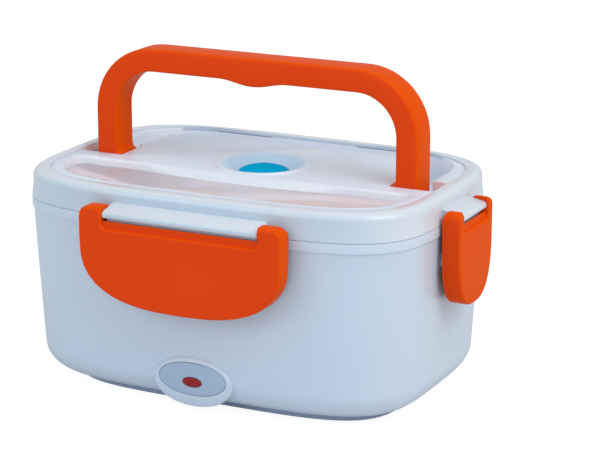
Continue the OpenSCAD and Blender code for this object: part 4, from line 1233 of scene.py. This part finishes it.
@dataclass
class SnapLatch:
    """Snap latch: a copy of its CAD node with a soft outer edge and a sloping web."""

    plan: BodyPlan
    side: str
    quarter: int
    face: float = 3.9
    ear_up: float = 1.3
    ear_in: float = 2.0
    web_in: float = 0.2
    soft: float = 1.15
    fine: float = 0.35

    def build(self, shop: Workshop) -> None:
        """Adds the web's top, then rounds the edges of the face and all others."""
        piece = shop.copy_of(f"latch_{self.side}", f"latch_{self.side}_fine")
        turn = self.quarter * QUARTER_TURN
        out = (math.sin(turn), -math.cos(turn))
        reach, half = self.plan.side(self.quarter)
        pin = reach + self.plan.pin_out
        y, z = -pin, self.plan.pin_z
        edge = (pin + self.face) * MM
        ear, inner = (z + self.ear_up) * MM, (half + self.ear_in) * MM

        def outside(co: Vector) -> bool:
            """Whether a point lies on the face, or on the outer side of an ear's top."""
            along = abs(co.x * out[1] - co.y * out[0])
            return co.x * out[0] + co.y * out[1] > edge or (co.z > ear and along > inner)

        web = [(y + across, z + up) for across, up in (
            (-3.35, -5.0), (-1.85, -5.0), (-1.85, -3.95), (-2.3, -3.7), (-2.9, -3.25),
            (-3.35, -2.8),
        )]
        end = half + self.web_in
        ridge = shop.prism("web_top", web, -end, end, Axis.ALONG)
        shop.face_side(ridge, self.quarter)
        shop.carve(piece, ridge, "UNION")
        shop.soften(piece, self.soft, outside)
        shop.round_edges(piece, self.fine)
        shop.smooth(piece)
        shop.modify(piece, "WEIGHTED_NORMAL", keep_sharp=True, weight=100)
        shop.dress(piece, f"{self.side}_latch", "orange", [f"latch_{self.side}"])


@dataclass
class VentPlug:
    """Silicone vent plug with a domed crown, a lip and a stem."""

    floor_z: float = 105.1
    radius: float = 13.4
    crown: float = 4.9
    stem_r: float = 4.6

    def build(self, shop: Workshop) -> None:
        """Turns the plug up from its stem and dresses it."""
        z = self.floor_z
        dome = [
            (self.radius * math.cos(t), z + 0.7 + (self.crown - 0.7) * math.sin(t))
            for t in (math.radians(6 * k) for k in range(15))
        ]
        rows = [(0.6, z - 5.0), (self.stem_r - 0.8, z - 5.0), (self.stem_r - 0.2, z - 4.6),
                (self.stem_r, z - 4.0), (self.stem_r, z - 0.2), (self.stem_r + 0.2, z),
                (self.radius - 0.4, z), (self.radius, z + 0.3), *dome, (0.3, z + self.crown)]
        piece = shop.loft("plug_crown", ROUND, [(r, r, h) for r, h in rows])
        piece.location = (0, VENT_Y * MM, 0)
        shop.settle(piece)
        shop.smooth(piece, 45)
        shop.dress(piece, "plug", "plug_blue", ["vent_plug"])


@dataclass(frozen=True)
class CopiedNode:
    """A CAD node that is kept in shape and gets rounded edges and a finish."""

    node: str
    body: str
    finish: str
    slot: str
    width: float

    def build(self, shop: Workshop) -> None:
        """Replaces the node with a copy whose edges are rounded as moulded ones are."""
        piece = shop.copy_of(self.node, self.node + "_fine")
        if self.width:
            shop.round_edges(piece, self.width)
        shop.smooth(piece)
        shop.dress(piece, self.body, self.finish, [self.node])


COPIED = [
    CopiedNode("spoon_cover", "tray_cover", "tray_cover", "tray_cover", 0.35),
    CopiedNode("lid_liner", "lid", "lid_white", "white_shell", 0.4),
    CopiedNode("seal_ring", "lid", "seal", "seal", 0.4),
    CopiedNode("side_dish_box", "side_dish", "tray_white", "tray_white", 0.3),
    CopiedNode("base_cover", "base", "base_grey", "base_grey", 0.4),
    CopiedNode("rubber_feet", "base", "foot_rubber", "foot_rubber", 0.25),
    CopiedNode("base_screws", "base", "steel", "steel", 0.12),
    CopiedNode("heating_plate", "base", "steel", "steel", 0.25),
    CopiedNode("plate_gasket", "base", "seal", "seal", 0.2),
    CopiedNode("ptc_heater", "base", "aluminium", "aluminium", 0.2),
    CopiedNode("heater_clamp", "base", "steel", "steel", 0.2),
    CopiedNode("clamp_nuts", "base", "steel", "steel", 0.15),
    CopiedNode("thermal_fuse", "base", "fuse_body", "fuse_body", 0.2),
    CopiedNode("power_inlet", "base", "inlet_black", "inlet_black", 0.3),
    CopiedNode("inlet_pins", "base", "contact_brass", "contact_brass", 0.2),
    CopiedNode("inner_wiring", "base", "wire_red", "wire_red", 0.0),
    CopiedNode("indicator_board", "base", "board_green", "board_green", 0.1),
]


# Stage


@dataclass(frozen=True)
class Lamp:
    """Soft square lamp that faces the lunch box, placed in metres."""

    name: str
    place: Place
    size: float
    power: float
    colour: Colour

    def hang(self) -> None:
        """Adds the lamp and points it at the middle of the box."""
        data = bpy.data.lights.new(self.name, "AREA")
        data.size, data.energy, data.color = self.size, self.power, self.colour
        lamp = bpy.data.objects.new(self.name, data)
        lamp.location = self.place
        lamp.rotation_mode = "QUATERNION"
        aim = Vector((0, 0, 0.07)) - Vector(self.place)
        lamp.rotation_quaternion = aim.to_track_quat("-Z", "Y")
        bpy.context.scene.collection.objects.link(lamp)


@dataclass
class Studio:
    """Camera, lamps, even light and floor."""

    azimuth: float = 26.05
    elevation: float = 15.73
    distance: float = 1157.6
    aside: float = 21.33
    rise: float = 73.29
    focal_px: float = 2269.99
    picture_px: float = 600.0
    sensor_mm: float = 36.0
    level: float = 0.62
    backdrop: float = 1.1
    glow: float = 1.16
    glow_share: float = 0.8
    floor_m: float = 12.0
    lamps: tuple[Lamp, ...] = (
        Lamp("key_lamp", (1.0, -0.35, 1.15), 0.9, 9.0, (1.0, 0.985, 0.96)),
        Lamp("front_lamp", (-0.7, -1.3, 0.75), 0.8, 4.0, (0.95, 0.975, 1.0)),
    )

    def camera(self) -> None:
        """Places the camera where the photograph was taken from."""
        a, e = math.radians(self.azimuth), math.radians(self.elevation)
        back = Vector((math.sin(a) * math.cos(e), -math.cos(a) * math.cos(e), math.sin(e)))
        right = Vector((math.cos(a), math.sin(a), 0.0))
        data = bpy.data.cameras.new("camera")
        data.sensor_width = self.sensor_mm
        data.sensor_fit = "HORIZONTAL"
        data.lens = self.focal_px * self.sensor_mm / self.picture_px
        data.clip_start, data.clip_end = 0.05, 50.0
        eye = bpy.data.objects.new("camera", data)
        target = right * self.aside + Vector((0, 0, self.rise))
        eye.location = (back * self.distance + target) * MM
        eye.rotation_mode = "QUATERNION"
        eye.rotation_quaternion = (-back).to_track_quat("-Z", "Y")
        bpy.context.scene.collection.objects.link(eye)
        bpy.context.scene.camera = eye

    def world(self) -> None:
        """Even light, with a white background for the camera and through clear pieces."""
        scene = bpy.context.scene
        scene.world = scene.world or bpy.data.worlds.new("studio")
        bench = Bench(scene.world)
        path = bench.node("ShaderNodeLightPath")
        seen = Signal(bench, path.outputs["Is Camera Ray"]).or_more(
            Signal(bench, path.outputs["Is Transmission Ray"])
        )
        light = bench.node(
            "ShaderNodeBackground", {}, {0: (0.97, 0.985, 1.0, 1.0), 1: self.level}
        )
        plain = bench.node(
            "ShaderNodeBackground", {}, {0: (1.0, 1.0, 1.0, 1.0), 1: self.backdrop}
        )
        mixed = bench.node(
            "ShaderNodeMixShader", {}, {0: seen, 1: light.outputs[0], 2: plain.outputs[0]}
        )
        bench.node("ShaderNodeOutputWorld", {}, {"Surface": mixed.outputs[0]})

    def floor(self) -> None:
        """Wide pale floor that keeps the shadow and otherwise shows white."""
        bpy.ops.object.select_all(action="DESELECT")
        bpy.ops.mesh.primitive_plane_add(size=self.floor_m, location=(0, 0, 0))
        floor = bpy.context.object
        floor.name = "floor"
        sheet = bpy.data.materials.new("floor_paper")
        bench = Bench(sheet)
        path = bench.node("ShaderNodeLightPath")
        coords = bench.node("ShaderNodeTexCoord")
        fibre = bench.noise(coords.outputs["Object"], 40.0)
        seen = Signal(bench, path.outputs["Is Camera Ray"])
        fibres = bench.blend(fibre, (0.90, 0.905, 0.91), (0.92, 0.925, 0.93))
        paper = bench.node(
            "ShaderNodeBsdfDiffuse", {},
            {"Color": bench.blend(seen, (0.76, 0.77, 0.79), fibres)},
        )
        glow = bench.node(
            "ShaderNodeEmission", {}, {"Color": (1.0, 1.0, 1.0, 1.0), "Strength": self.glow}
        )
        mixed = bench.node(
            "ShaderNodeMixShader", {},
            {0: seen * self.glow_share, 1: paper.outputs[0], 2: glow.outputs[0]},
        )
        bench.node("ShaderNodeOutputMaterial", {}, {"Surface": mixed.outputs[0]})
        floor.data.materials.append(sheet)

    def build(self) -> None:
        """Sets the camera, the lamps, the world and the floor."""
        self.camera()
        for lamp in self.lamps:
            lamp.hang()
        self.world()
        self.floor()
        bpy.context.scene.view_settings.view_transform = "Standard"


def main() -> None:
    """Builds the studio and every sub-assembly in order, and logs how many pieces are dressed."""
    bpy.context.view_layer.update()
    shop = Workshop()
    Studio().build()
    plan = BodyPlan()
    Shell(plan).build(shop)
    Indicator().build(shop)
    Tubs(plan).build(shop)
    LidRing(plan).build(shop)
    LidPanel(plan).build(shop)
    CarryHandle().build(shop)
    VentPlug().build(shop)
    for quarter, side in enumerate(("front", "right", "back", "left")):
        SnapLatch(plan, side, quarter).build(shop)
    for item in COPIED:
        item.build(shop)
    LOG.info("%d pieces are dressed", shop.count)


if __name__ == "__main__":
    logging.basicConfig(level=logging.INFO, format="%(name)s: %(message)s")
    main()
